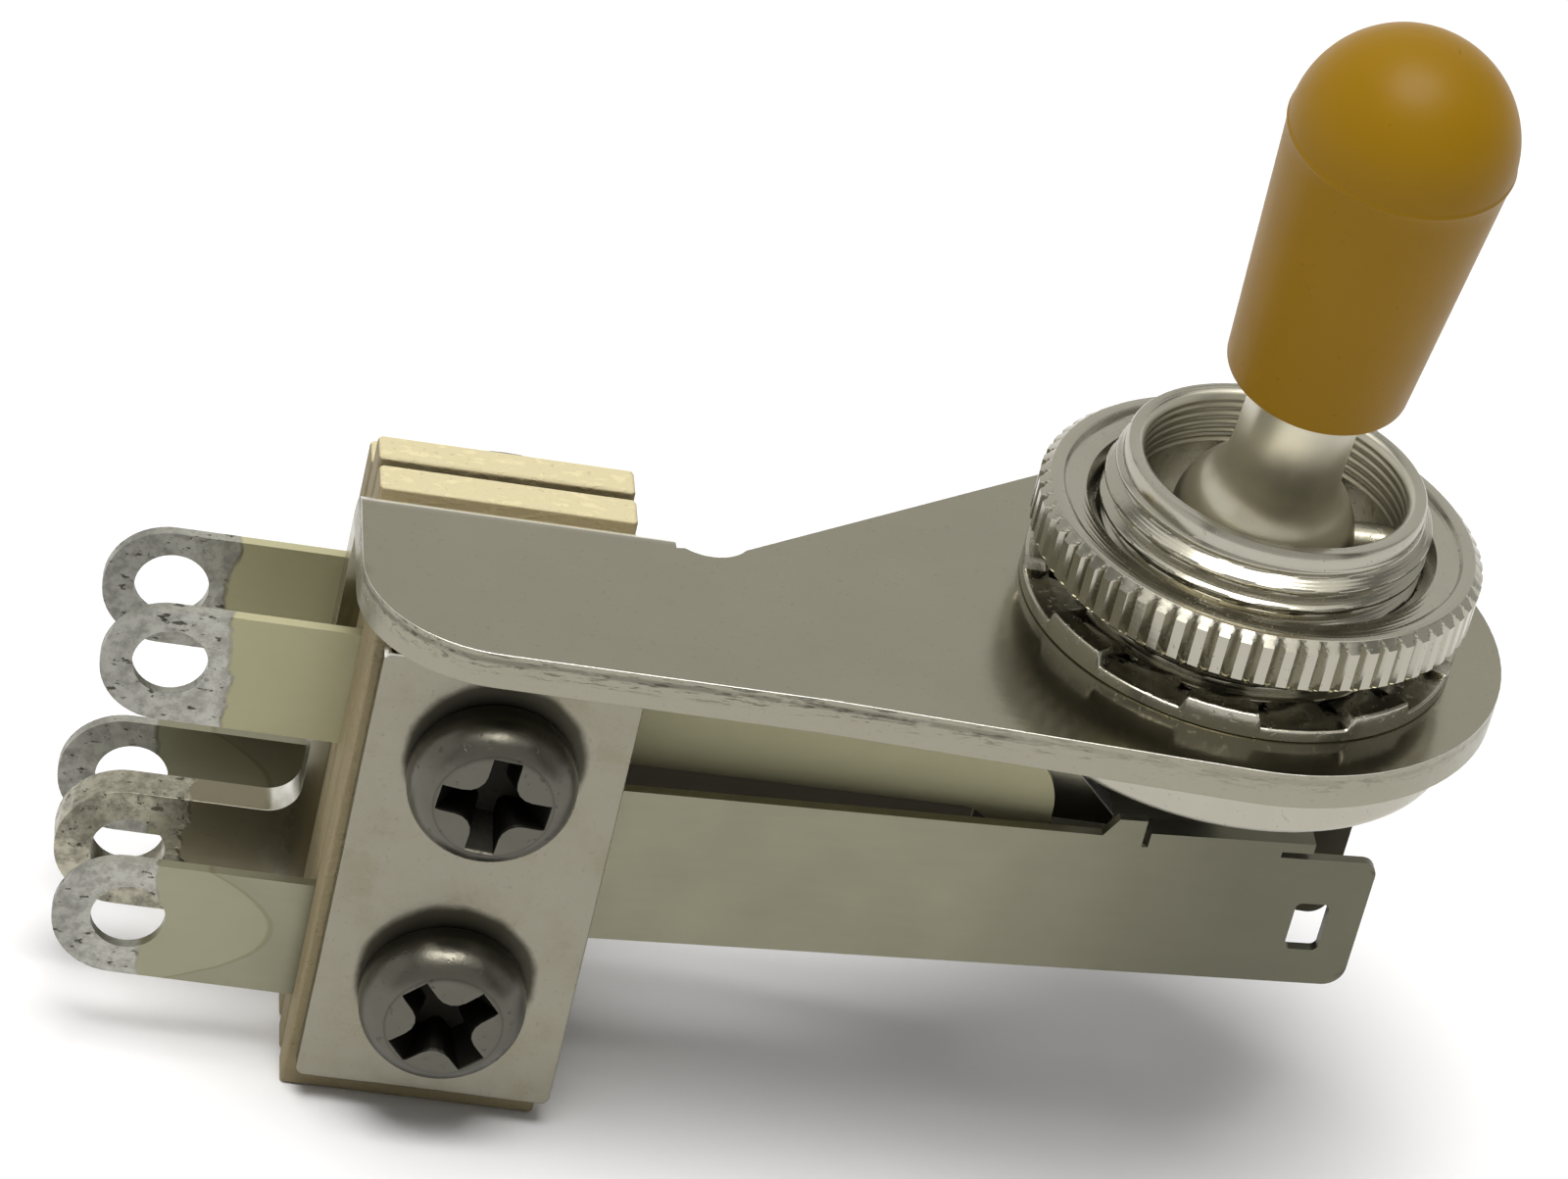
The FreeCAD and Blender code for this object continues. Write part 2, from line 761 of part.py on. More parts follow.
def lock_washer():
    body = new_body("lock_washer")
    ring = new_sketch(body, "XZ_Plane", "washer_profile")
    draw_outline(
        ring,
        rectangle(S.washer_ring_inner_radius, ZERO, S.washer_radius, S.washer_gauge),
    )
    revolve(body, ring, "washer_ring")
    segment = new_sketch(body, "XY_Plane", "raised_outline", S.washer_gauge / 2)
    draw_sector(
        segment, S.washer_ring_inner_radius, S.washer_radius, S.washer_raised_angle
    )
    raised = pad(
        body, segment, "raised_segment", S.washer_height - S.washer_gauge / 2
    )
    polar(body, raised, "raised_segments", S.washer_raised_count)

    tooth = new_sketch(body, "YZ_Plane", "tooth_outline", S.washer_tooth_reach)
    half_width = S.washer_tooth_width / 2
    half_gauge = S.washer_gauge / 2
    turn = math.radians(S.washer_tooth_twist.value)
    middle = S.washer_gauge
    corners = []
    for across, up in ((-1, -1), (1, -1), (1, 1), (-1, 1)):
        y_value = (
            across * half_width.value * math.cos(turn)
            - up * half_gauge.value * math.sin(turn)
        )
        z_value = (
            across * half_width.value * math.sin(turn)
            + up * half_gauge.value * math.cos(turn)
        )
        twist = S.washer_tooth_twist.text
        y_text = (
            f"({across} * {half_width.text} * cos({twist})"
            f" - {up} * {half_gauge.text} * sin({twist}))"
        )
        z_text = (
            f"({across} * {half_width.text} * sin({twist})"
            f" + {up} * {half_gauge.text} * cos({twist}))"
        )
        corners.append((Size(y_value, y_text), middle + Size(z_value, z_text)))
    draw_outline(tooth, corners)
    reach = S.washer_ring_inner_radius - S.washer_tooth_reach + S.washer_gauge / 2
    one_tooth = pad(body, tooth, "tooth", reach)
    polar(body, one_tooth, "teeth", S.washer_tooth_count)
    place(body, axis=AXIS_Z, angle=S.washer_phase)
    return body


# Lever, its pivot, tip and actuator. Each is drawn upright about the pivot and then leaned.


def lean(body):
    place(body, z=S.pivot_height, axis=AXIS_X, angle=S.lever_lean)


def pivot_pin():
    body = new_body("pivot_pin")
    profile = new_sketch(body, "YZ_Plane", "pin_outline", -S.pin_half_length)
    draw_circle(profile, ZERO, S.pivot_height, S.pin_radius)
    pad(body, profile, "pin", 2 * S.pin_half_length)
    return body


def lever():
    body = new_body("lever")
    rod = new_sketch(body, "XZ_Plane", "rod_profile")
    draw_outline(
        rod,
        [
            (ZERO, -S.stem_bottom),
            (S.stem_radius, -S.stem_bottom),
            (S.stem_radius, ZERO),
            (S.neck_radius, S.pin_radius * 2),
            (S.shaft_radius, S.neck_top, S.neck_top - S.shaft_radius),
            (S.shaft_radius, S.shaft_top),
            (ZERO, S.shaft_top),
        ],
    )
    revolve(body, rod, "rod")
    add_sphere(body, "ball", S.ball_radius, ZERO, lowest=-90)
    cross = new_sketch(body, "YZ_Plane", "cross_hole_outline", -S.bushing_flange_radius)
    draw_circle(cross, ZERO, ZERO, S.pin_radius + S.pin_clearance)
    pocket(body, cross, "cross_hole", reverse=True)
    lean(body)
    return body


def lever_tip():
    body = new_body("lever_tip")
    bore = S.shaft_radius + S.tip_bore_clearance
    bore_top = S.tip_bottom + S.tip_bore_depth
    cone = new_sketch(body, "XZ_Plane", "tip_profile")
    draw_outline(
        cone,
        [
            (bore, S.tip_bottom),
            (S.tip_bottom_radius - S.tip_bottom_chamfer, S.tip_bottom),
            (S.tip_bottom_radius, S.tip_bottom + S.tip_bottom_chamfer),
            (S.tip_radius, S.tip_shoulder - S.tip_ridge_height / 2),
            (S.tip_radius + S.tip_ridge, S.tip_shoulder),
            (S.tip_radius, S.tip_shoulder + S.tip_ridge_height / 2),
            (ZERO, S.tip_shoulder + S.tip_ridge_height / 2),
            (ZERO, bore_top),
            (bore, bore_top),
        ],
    )
    revolve(body, cone, "tip")
    add_sphere(body, "dome", S.tip_radius, S.tip_shoulder, lowest=0)
    lean(body)
    return body


def actuator():
    body = new_body("actuator")
    bore = S.stem_radius + S.hub_bore_clearance
    hub = new_sketch(body, "XZ_Plane", "hub_profile")
    draw_outline(
        hub,
        [
            (bore, -S.stem_bottom),
            (ZERO, -S.stem_bottom),
            (ZERO, -S.hub_bottom),
            (S.hub_radius - S.hub_chamfer, -S.hub_bottom),
            (S.hub_radius, -S.hub_bottom + S.hub_chamfer),
            (S.hub_radius, -S.hub_top),
            (bore, -S.hub_top),
        ],
    )
    revolve(body, hub, "hub")
    slab(
        body,
        "foot",
        [
            (-S.foot_half_width, -S.foot_bottom, S.foot_corner),
            (S.foot_half_width, -S.foot_bottom, S.foot_corner),
            (S.foot_half_width, -S.foot_top),
            (-S.foot_half_width, -S.foot_top),
        ],
        FAR,
        -S.foot_gauge / 2,
        S.foot_gauge,
    )
    lean(body)
    return body


# Stack: insulators, clamp plates, screws and tubes


def insulator(label, side, inner, top):
    body = new_body(label)
    corners = rectangle(-S.stack_left_reach, -S.stack_bottom, -S.stack_right_reach, -top)
    block = slab(body, f"{label}_block", corners, side, inner, S.insulator_gauge)
    edge = body.newObject("PartDesign::Chamfer", f"{label}_edges")
    edge.Base = (block, [f"Edge{i + 1}" for i in range(len(block.Shape.Edges))])
    edge.Size = S.insulator_chamfer.value
    edge.setExpression("Size", S.insulator_chamfer.text)
    body.Tip = edge
    DOCUMENT.recompute()
    screw_holes(body, TUBE_HOLE)
    return body


def clamp_plate():
    body = new_body("clamp_plate")
    corners = rectangle(
        -S.clamp_left_reach,
        -S.clamp_bottom,
        -S.clamp_right_reach,
        -S.clamp_top,
        S.clamp_corner,
    )
    slab(body, "clamp_sheet", corners, NEAR, CLAMP, S.clamp_gauge)
    screw_holes(body, S.screw_radius + S.screw_clearance)
    return body


def tapped_plate():
    body = new_body("tapped_plate")
    bottom = 2 * S.screw_middle_drop - S.far_clamp_top
    corners = rectangle(
        -S.clamp_left_reach,
        -bottom,
        -S.clamp_right_reach,
        -S.far_clamp_top,
        (S.clamp_left_reach - S.clamp_right_reach) * 0.49,
    )
    slab(body, "tapped_sheet", corners, FAR, CLAMP, S.clamp_gauge)
    screw_holes(body, S.screw_radius + S.tapped_clearance)
    return body


def stack_screw(label, drop):
    body = new_body(label)
    profile = new_sketch(body, "XY_Plane", f"{label}_profile")
    top = -(CLAMP_FACE + S.head_height)
    draw_outline(
        profile,
        [
            (ZERO, top),
            (S.head_radius - S.head_rounding, top),
            (S.head_radius - S.head_rounding * 0.4, top + S.head_rounding * 0.25),
            (S.head_radius - S.head_rounding * 0.1, top + S.head_rounding * 0.6),
            (S.head_radius, top + S.head_rounding),
            (S.head_radius, -CLAMP_FACE),
            (S.screw_radius, -CLAMP_FACE),
            (S.screw_radius, CLAMP_FACE + S.screw_end),
            (ZERO, CLAMP_FACE + S.screw_end),
        ],
    )
    revolve(body, profile, f"{label}_turned")
    for name, length, width in (
        ("level_slot", S.recess_half_length, S.recess_half_width),
        ("upright_slot", S.recess_half_width, S.recess_half_length),
    ):
        slot = new_sketch(body, "XZ_Plane", f"{label}_{name}_outline", -top)
        draw_outline(slot, rectangle(-length, -width, length, width))
        pocket(body, slot, f"{label}_{name}", S.recess_depth)
    socket = new_sketch(body, "XZ_Plane", f"{label}_socket_outline", -top)
    draw_circle(socket, ZERO, ZERO, S.recess_socket_radius)
    pocket(body, socket, f"{label}_socket", S.recess_depth)
    place(body, x=-S.screw_reach, z=drop)
    return body


def screw_tube(label, drop):
    body = new_body(label)
    profile = new_sketch(body, "XY_Plane", f"{label}_profile")
    draw_outline(
        profile,
        rectangle(S.screw_radius + S.screw_clearance, -CLAMP, S.tube_radius, CLAMP),
    )
    revolve(body, profile, f"{label}_turned")
    place(body, x=-S.screw_reach, z=drop)
    return body


def pair(label, make):
    """One node with a separate solid on each screw."""
    solids = [
        make(f"{label}_{name}", drop)
        for name, drop in zip(("upper", "lower"), screw_drops())
    ]
    group = DOCUMENT.addObject("Part::Compound", label)
    group.Label = label
    group.Links = solids
    DOCUMENT.recompute()
    return group


# Leaves

BAND_TOP = S.leaf_clamped_top - S.leaf_band_margin
BAND_BOTTOM = S.leaf_clamped_bottom + S.leaf_band_margin


def leaf_face(inner, slope, x):
    """Distance of a leaning leaf's face from the middle plane, at x."""
    return inner - slope * (x + S.stack_right_reach)


def bent_strip(body, side, inner, slope, left, right):
    """The leaf's edge view: flat through the stack, then leaning to its end."""
    strip = new_sketch(body, "XY_Plane", f"{body.Label}_strip_outline", -BAND_BOTTOM)
    outer = inner + S.leaf_gauge
    draw_outline(
        strip,
        [
            (left, side * inner),
            (-S.stack_right_reach, side * inner),
            (right, side * leaf_face(inner, slope, right)),
            (right, side * leaf_face(outer, slope, right)),
            (-S.stack_right_reach, side * outer),
            (left, side * outer),
        ],
    )
    pad(body, strip, f"{body.Label}_strip", BAND_BOTTOM - BAND_TOP)


def blank(body, corners):
    """Cuts the strip to the leaf's face view."""

    def draw(sketch):
        margin = S.bushing_flange_radius
        outside = rectangle(
            -S.ground_lug_reach - margin,
            -BAND_BOTTOM - margin,
            S.outer_tail_end + margin,
            margin,
        )
        draw_outline(sketch, outside)
        draw_outline(sketch, corners)

    through_y(body, f"{body.Label}_blank", draw)


CLAMPED_LEFT = -(S.stack_left_reach - S.leaf_clamped_inset)
CLAMPED_RIGHT = -(S.stack_right_reach + S.leaf_clamped_inset)


def inner_leaf(label, side):
    body = new_body(label)
    end = -S.inner_blade_end_reach
    bent_strip(body, side, INNER_LEAF, S.inner_lean, -S.inner_lug_reach, end)
    blank(
        body,
        [
            (-S.inner_lug_reach, -S.inner_lug_top, S.inner_lug_corner),
            (CLAMPED_LEFT, -S.inner_lug_top),
            (CLAMPED_LEFT, -S.leaf_clamped_top),
            (CLAMPED_RIGHT, -S.leaf_clamped_top),
            (CLAMPED_RIGHT, -S.inner_blade_top),
            (end, -S.inner_blade_end_top, S.inner_blade_corner),
            (end, -S.inner_finger_bottom, S.inner_finger_corner),
            (-S.inner_finger_left_reach, -S.inner_finger_bottom, S.inner_finger_corner),
            (
                -S.inner_finger_left_reach,
                -S.inner_blade_end_bottom,
                S.inner_finger_fillet,
            ),
            (CLAMPED_RIGHT, -S.inner_blade_bottom),
            (CLAMPED_RIGHT, -S.leaf_clamped_bottom),
            (CLAMPED_LEFT, -S.leaf_clamped_bottom),
            (CLAMPED_LEFT, -S.inner_lug_bottom),
            (-S.inner_lug_reach, -S.inner_lug_bottom, S.inner_lug_corner),
        ],
    )
    screw_holes(body, TUBE_HOLE)

    def draw_eye(sketch):
        eye_reach = S.inner_lug_reach - S.inner_eye_inset
        draw_circle(sketch, -eye_reach, -S.inner_eye_drop, S.eye_radius)

    through_y(body, f"{label}_eye", draw_eye)
    return body


def outer_leaf(label, side, slope):
    body = new_body(label)
    bent_strip(body, side, OUTER_LEAF, slope, -S.outer_lug_reach, S.outer_tail_end)
    relief_right = -S.outer_ear_end_reach + S.outer_relief_width
    blank(
        body,
        [
            (-S.outer_lug_reach, -S.outer_lug_top, S.outer_lug_corner),
            (CLAMPED_LEFT, -S.outer_lug_top),
            (CLAMPED_LEFT, -S.leaf_clamped_top),
            (CLAMPED_RIGHT, -S.leaf_clamped_top),
            (CLAMPED_RIGHT, -S.outer_blade_top),
            (-S.outer_step_reach, -S.outer_step_drop),
            (-S.outer_step_top_reach, -S.outer_ear_top),
            (-S.outer_ear_end_reach, -S.outer_ear_top),
            (-S.outer_ear_end_reach, -S.outer_relief_bottom),
            (relief_right, -S.outer_relief_bottom),
            (relief_right, -S.flange_drop),
            (S.web_end, -S.flange_drop),
            (S.web_end, -S.outer_tail_top),
            (S.outer_tail_end, -S.outer_tail_top, S.outer_tail_top_corner),
            (S.outer_tail_end, -S.outer_blade_bottom, S.outer_tail_bottom_corner),
            (CLAMPED_RIGHT, -S.outer_blade_bottom),
            (CLAMPED_RIGHT, -S.leaf_clamped_bottom),
            (CLAMPED_LEFT, -S.leaf_clamped_bottom),
            (CLAMPED_LEFT, -S.outer_lug_bottom),
            (-S.outer_lug_reach, -S.outer_lug_bottom, S.outer_lug_corner),
        ],
    )
    flange = new_sketch(
        body, "XY_Plane", f"{label}_flange_outline", -(S.flange_drop + S.leaf_gauge)
    )
    outer = OUTER_LEAF + S.leaf_gauge
    lip = OUTER_LEAF - S.flange_width
    draw_outline(
        flange,
        [
            (relief_right, side * leaf_face(outer, slope, relief_right)),
            (relief_right, side * leaf_face(lip, slope, relief_right)),
            (S.flange_end, side * leaf_face(lip, slope, S.flange_end)),
            (S.flange_end, side * leaf_face(outer, slope, S.flange_end)),
        ],
    )
    pad(body, flange, f"{label}_flange", S.leaf_gauge)
    screw_holes(body, TUBE_HOLE)

    def draw_openings(sketch):
        eye_reach = S.outer_lug_reach - S.outer_eye_inset
        draw_circle(sketch, -eye_reach, -S.outer_eye_drop, S.eye_radius)
        hole = rectangle(
            S.tail_hole_left,
            -S.tail_hole_bottom,
            S.tail_hole_right,
            -S.tail_hole_top,
            S.tail_hole_corner,
        )
        draw_outline(sketch, hole)

    through_y(body, f"{label}_openings", draw_openings)
    return body


def contact(label, side, inward, inner, slope):
    """A button on a leaf's face, its flat back on the leaf and its dome facing the other leaf."""
    body = new_body(label)
    profile = new_sketch(body, "XY_Plane", f"{label}_profile")
    draw_outline(
        profile,
        [
            (ZERO, ZERO),
            (S.contact_radius, ZERO),
            (S.contact_radius, S.contact_rim_height),
            (S.contact_radius / 2, S.contact_height),
            (ZERO, S.contact_height),
        ],
    )
    revolve(body, profile, f"{label}_turned")
    x = -S.contact_reach
    lean_angle = Size(
        math.degrees(math.atan(slope.value)) * -side, f"(-1 * {side} * atan({slope.text}))"
    )
    facing = -side if inward else side
    turn = lean_angle if facing > 0 else lean_angle + Size(180, "180 deg")
    face = leaf_face(inner, slope, x)
    place(
        body, x=x, y=side * face, z=-S.contact_drop, axis=AXIS_Z, angle=turn
    )
    return body


PIECES = [
    frame(),
    bushing(),
    knurled_nut(),
    lock_washer(),
    pivot_pin(),
    lever(),
    lever_tip(),
    actuator(),
    clamp_plate(),
    tapped_plate(),
    pair("stack_screws", stack_screw),
    pair("screw_tubes", screw_tube),
]

for word, side, top in (("near", NEAR, S.near_stack_top), ("far", FAR, S.far_stack_top)):
    PIECES += [
        insulator(f"{word}_inner_insulator", side, HALF_FRAME, top),
        insulator(f"{word}_middle_insulator", side, MIDDLE_INSULATOR, top),
        insulator(f"{word}_outer_insulator", side, OUTER_INSULATOR, S.near_stack_top),
    ]

for word, side, slope in (("near", NEAR, S.closed_lean), ("far", FAR, S.open_lean)):
    outer_face = INNER_LEAF + S.leaf_gauge
    PIECES += [
        inner_leaf(f"{word}_inner_leaf", side),
        outer_leaf(f"{word}_outer_leaf", side, slope),
        contact(f"{word}_inner_contact", side, False, outer_face, S.inner_lean),
        contact(f"{word}_outer_contact", side, True, OUTER_LEAF, slope),
    ]

DOCUMENT.recompute()
for thing in DOCUMENT.Objects:
    if "Invalid" in thing.State or "Error" in thing.State:
        raise ValueError(f"{thing.Label}: {thing.State}")

os.makedirs("parts", exist_ok=True)
for piece in PIECES:
    shape = piece.Shape
    if shape.isNull() or not shape.isValid() or not shape.Solids:
        raise ValueError(f"{piece.Label} has no valid solid")
    shape.exportStep(f"parts/{piece.Label}.step")
    box = shape.BoundBox
    print(
        f"{piece.Label:24s} {len(shape.Solids)} {shape.Volume:9.2f}"
        f" x {box.XMin:7.2f} {box.XMax:7.2f} y {box.YMin:7.2f} {box.YMax:7.2f}"
        f" z {box.ZMin:7.2f} {box.ZMax:7.2f}"
    )
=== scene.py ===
import math
from contextlib import contextmanager

import bmesh
import bpy
import numpy as np
from mathutils import Matrix, Vector


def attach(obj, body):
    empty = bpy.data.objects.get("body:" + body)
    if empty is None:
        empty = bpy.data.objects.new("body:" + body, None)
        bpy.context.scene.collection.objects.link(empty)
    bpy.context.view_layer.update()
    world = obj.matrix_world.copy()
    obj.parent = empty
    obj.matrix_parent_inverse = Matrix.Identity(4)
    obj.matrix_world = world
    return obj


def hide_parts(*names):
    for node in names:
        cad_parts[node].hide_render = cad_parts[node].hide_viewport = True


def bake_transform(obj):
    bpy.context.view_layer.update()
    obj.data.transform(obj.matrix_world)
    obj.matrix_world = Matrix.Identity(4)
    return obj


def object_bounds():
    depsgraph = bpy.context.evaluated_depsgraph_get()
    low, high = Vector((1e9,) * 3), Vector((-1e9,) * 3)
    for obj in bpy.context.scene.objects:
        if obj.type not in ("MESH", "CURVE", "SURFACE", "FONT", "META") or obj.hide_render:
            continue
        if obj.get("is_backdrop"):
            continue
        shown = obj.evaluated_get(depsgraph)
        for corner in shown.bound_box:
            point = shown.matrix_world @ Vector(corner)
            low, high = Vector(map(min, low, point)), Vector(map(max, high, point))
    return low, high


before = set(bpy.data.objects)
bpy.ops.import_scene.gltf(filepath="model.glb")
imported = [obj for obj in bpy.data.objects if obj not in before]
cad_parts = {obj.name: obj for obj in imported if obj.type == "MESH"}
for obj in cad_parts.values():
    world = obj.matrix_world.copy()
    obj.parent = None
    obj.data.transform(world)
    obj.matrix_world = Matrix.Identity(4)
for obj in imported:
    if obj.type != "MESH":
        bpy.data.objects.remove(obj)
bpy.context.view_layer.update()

# A right-angle selector toggle switch. Lengths in the code are millimetres counted from the plate's
# top face, and MM and PLATE_TOP carry them into the row frame. Stage sizes are in metres.

bl_info = {
    "name": "Selector toggle switch",
    "version": (1, 0, 0),
    "blender": (4, 5, 0),
    "location": "3D View > Sidebar > Toggle switch",
    "description": "Dresses the packed switch with turned, stamped, moulded and laminated pieces",
    "category": "Object",
}

MM = 0.001
WELD = 1e-7
COPY_WELD = 2e-7
FLAT_LIMIT = 0.05

# Places on the switch
PLATE_TOP = -5.175
PIVOT_HEIGHT = 3.61
LEAN = 9.88
STACK_EDGE = -21.75
CLAMP_FACE = -6.84
TAPPED_DROP = 0.65
TAPPED_DROP_REACH = 3

# Where the tin on the lugs ends
GROUND_TIN = -35.6
INNER_TIN = -35.4
OUTER_TIN = -36.6

# Screws
SCREW_X = -26.1
SCREW_DROPS = (-6.5, -16.2)
SCREW_TURNS = (-5, 41)
SCREW_HEAD = 2.1
SCREW_SHANK = 1.42
SCREW_END = -15.7

# Bushing
THREAD_CREST = 5.93
THREAD_SPAN = (-1.3, 5.75)
THREAD_STEP = 0.045
THREAD_TOP = 5.62
THREAD_FADE = 0.35
FLANGE_UNDER = -3.45
FLANGE_TOP = -1.4
BUSHING_TOP = 6.3
BORE = 4.84
BORE_RIPPLE = 0.035
BORE_RIPPLE_PITCH = 0.36
BALL_SEAT = 5.05
STEM_BORE = 4.3

# Nut and washer
FLUTE_STEPS = np.array([0, 0.12, 0.24, 0.37, 0.5, 0.63, 0.76, 0.88])
FLUTE_HALF_WIDTH = 0.26
NUT_LAND = 8.11
NUT_BORE = 6.02
BEVEL_START = 7.76
BEVEL_REACH = 0.35
WASHER_COLUMNS = 768
WASHER_SEGMENTS = 8
WASHER_TEETH = 16
WASHER_TURN = 12
WASHER_BODY = 7.0
WASHER_RIM = 7.95
TOOTH_REACH = 0.85
TOOTH_HALF_WIDTH = 8.8
TOOTH_TWIST = 0.1

# Lever and tip, from the pivot
BALL = 3.38
STEM = 1.6
STEM_END = -8.6
SHAFT = 2.05
SHAFT_HOLE = 2.08
SHAFT_TOP = 16.0
TIP_HOLE_TOP = 16.3
TIP_FOOT = 3.29
TIP_WIDEST = 3.985
DOME = 4.0
DOME_HEIGHT = 18.3

# Room, light panels and camera
WARM = (1.0, 0.99, 0.95)
ROOM_GLOW = 0.12
ROOM_GLOSS = 0.2
BACKDROP = 1.1
FLOOR_REACH = 5.0
FLOOR_GLOW_START = 700
FLOOR_GLOW_WIDTH = 900
CAMERA_LENS = 151.82
CAMERA_AZIMUTH = 11.5757
CAMERA_ELEVATION = 32.359
CAMERA_ROLL = -14.1688
CAMERA_PLACE = (-56.114, -194.770, 124.299)

# Each panel's name, place, aim, size, brightness, and whether it lights matt surfaces, in metres
PANELS = (
    ("softbox", (-0.1, -0.15, 1.3), (0, 0, 0), (0.8, 0.8), 10.0, True),
    ("tent_top", (0, 0, 1.45), (0, 0, 0), (2.2, 2.0), 1.0, False),
    ("tent_back", (0, 1.6, 0.78), (0, 0, 0.6), (3.4, 1.6), 0.6, True),
    ("tent_front", (0, -1.6, 0.78), (0, 0, 0.6), (3.4, 1.6), 0.4, False),
    ("tent_left", (-1.7, 0.1, 0.7), (0, 0.1, 0.7), (2.6, 1.4), 0.6, True),
    ("tent_right", (1.7, 0.3, 0.7), (0, 0.3, 0.7), (2.2, 1.4), 0.35, True),
)


# Shader helpers


class Link:
    """A shader socket that adds Math nodes when it is used in an expression."""

    def __init__(self, nodes, socket):
        self.nodes = nodes
        self.socket = socket

    def _math(self, operation, *values):
        return self.nodes.value("ShaderNodeMath", {"operation": operation}, dict(enumerate(values)))

    def __add__(self, other):
        return self._math("ADD", self, other)

    __radd__ = __add__

    def __mul__(self, other):
        return self._math("MULTIPLY", self, other)

    __rmul__ = __mul__

    def __sub__(self, other):
        return self._math("SUBTRACT", self, other)

    def __rsub__(self, other):
        return self._math("SUBTRACT", other, self)

    def absolute(self):
        return self._math("ABSOLUTE", self)

    def root(self):
        return self._math("SQRT", self)

    def wave(self):
        return self._math("SINE", self)

    def above(self, level, width):
        """0 below level, 1 above it, over a soft band that wide."""
        ends = {1: level - width / 2, 2: level + width / 2}
        settings = {"interpolation_type": "SMOOTHSTEP"}
        return self.nodes.value("ShaderNodeMapRange", settings, {0: self, **ends})

    def below(self, level, width):
        return 1 - self.above(level, width)


class Nodes:
    """Adds nodes to one material."""

    def __init__(self, name):
        self.material = bpy.data.materials.new(name)
        self.material.use_nodes = True
        self.tree = self.material.node_tree
        self.tree.nodes.clear()
        self.shader = self.add("ShaderNodeBsdfPrincipled")
        self.add("ShaderNodeOutputMaterial", {}, {"Surface": self.shader.outputs[0]})
        coordinates = self.add("ShaderNodeTexCoord")
        scale = {0: coordinates.outputs["Object"], "Scale": 1 / MM}
        self.place = self.add("ShaderNodeVectorMath", {"operation": "SCALE"}, scale).outputs[0]
        parts = self.add("ShaderNodeSeparateXYZ", {}, {0: self.place})
        self.x, self.y, self.z = (Link(self, socket) for socket in parts.outputs)
        turned = self.add("ShaderNodeSeparateXYZ", {}, {0: coordinates.outputs["Normal"]})
        self.facing_x, self.facing_y, self.facing_z = (Link(self, s) for s in turned.outputs)

    def add(self, kind, settings=None, inputs=None):
        node = self.tree.nodes.new(kind)
        for name, value in (settings or {}).items():
            setattr(node, name, value)
        for name, value in (inputs or {}).items():
            if isinstance(value, Link):
                value = value.socket
            if isinstance(value, bpy.types.NodeSocket):
                self.tree.links.new(value, node.inputs[name])
            else:
                node.inputs[name].default_value = value
        return node

    def value(self, kind, settings=None, inputs=None):
        return Link(self, self.add(kind, settings, inputs).outputs[0])

    def noise(self, size, detail=2.0, rough=0.5, stretch=(1, 1, 1), warp=0.0):
        """Noise whose blotches are about size millimetres across."""
        scale = tuple(1 / (size * s) for s in stretch)
        settings = {"operation": "MULTIPLY"}
        place = self.add("ShaderNodeVectorMath", settings, {0: self.place, 1: scale}).outputs[0]
        inputs = {"Vector": place, "Scale": 1.0, "Detail": detail, "Roughness": rough, "Distortion": warp}
        return self.value("ShaderNodeTexNoise", {}, inputs)

    def mix(self, factor, first, second):
        """Blends two colours."""
        colours = [(*c, 1) if isinstance(c, (tuple, list)) else c for c in (first, second)]
        settings = {"data_type": "RGBA"}
        inputs = {0: factor, 6: colours[0], 7: colours[1]}
        return Link(self, self.add("ShaderNodeMix", settings, inputs).outputs[2])

    def finish(self, colour, rough, metal=0.0, bump=None, depth=0.02, constants=None):
        """Wires the shader. Depth is the bump's height in millimetres."""
        wires = {"Base Color": colour, "Roughness": rough, "Metallic": metal}
        for name, value in wires.items():
            socket = self.shader.inputs[name]
            if isinstance(value, Link):
                self.tree.links.new(value.socket, socket)
            else:
                socket.default_value = (*value, 1) if isinstance(value, tuple) else value
        for name, value in (constants or {}).items():
            self.shader.inputs[name].default_value = value
        if bump is not None:
            inputs = {"Height": bump, "Distance": depth * MM, "Strength": 1.0}
            normal = self.add("ShaderNodeBump", {}, inputs).outputs[0]
            self.tree.links.new(normal, self.shader.inputs["Normal"])
        return self.material


def scaled(colour, factor):
    """A colour made darker or lighter by that factor."""
    return tuple(c * factor for c in colour)


def screw_reach(n, lift=0.0):
    """Distance from the nearer screw's axis, in millimetres."""
    wide = n.x - SCREW_X
    reaches = []
    for drop in SCREW_DROPS:
        high = n.z - (drop + lift + PLATE_TOP)
        reaches.append((wide * wide + high * high).root())
    return n.value("ShaderNodeMath", {"operation": "MINIMUM"}, dict(enumerate(reaches)))


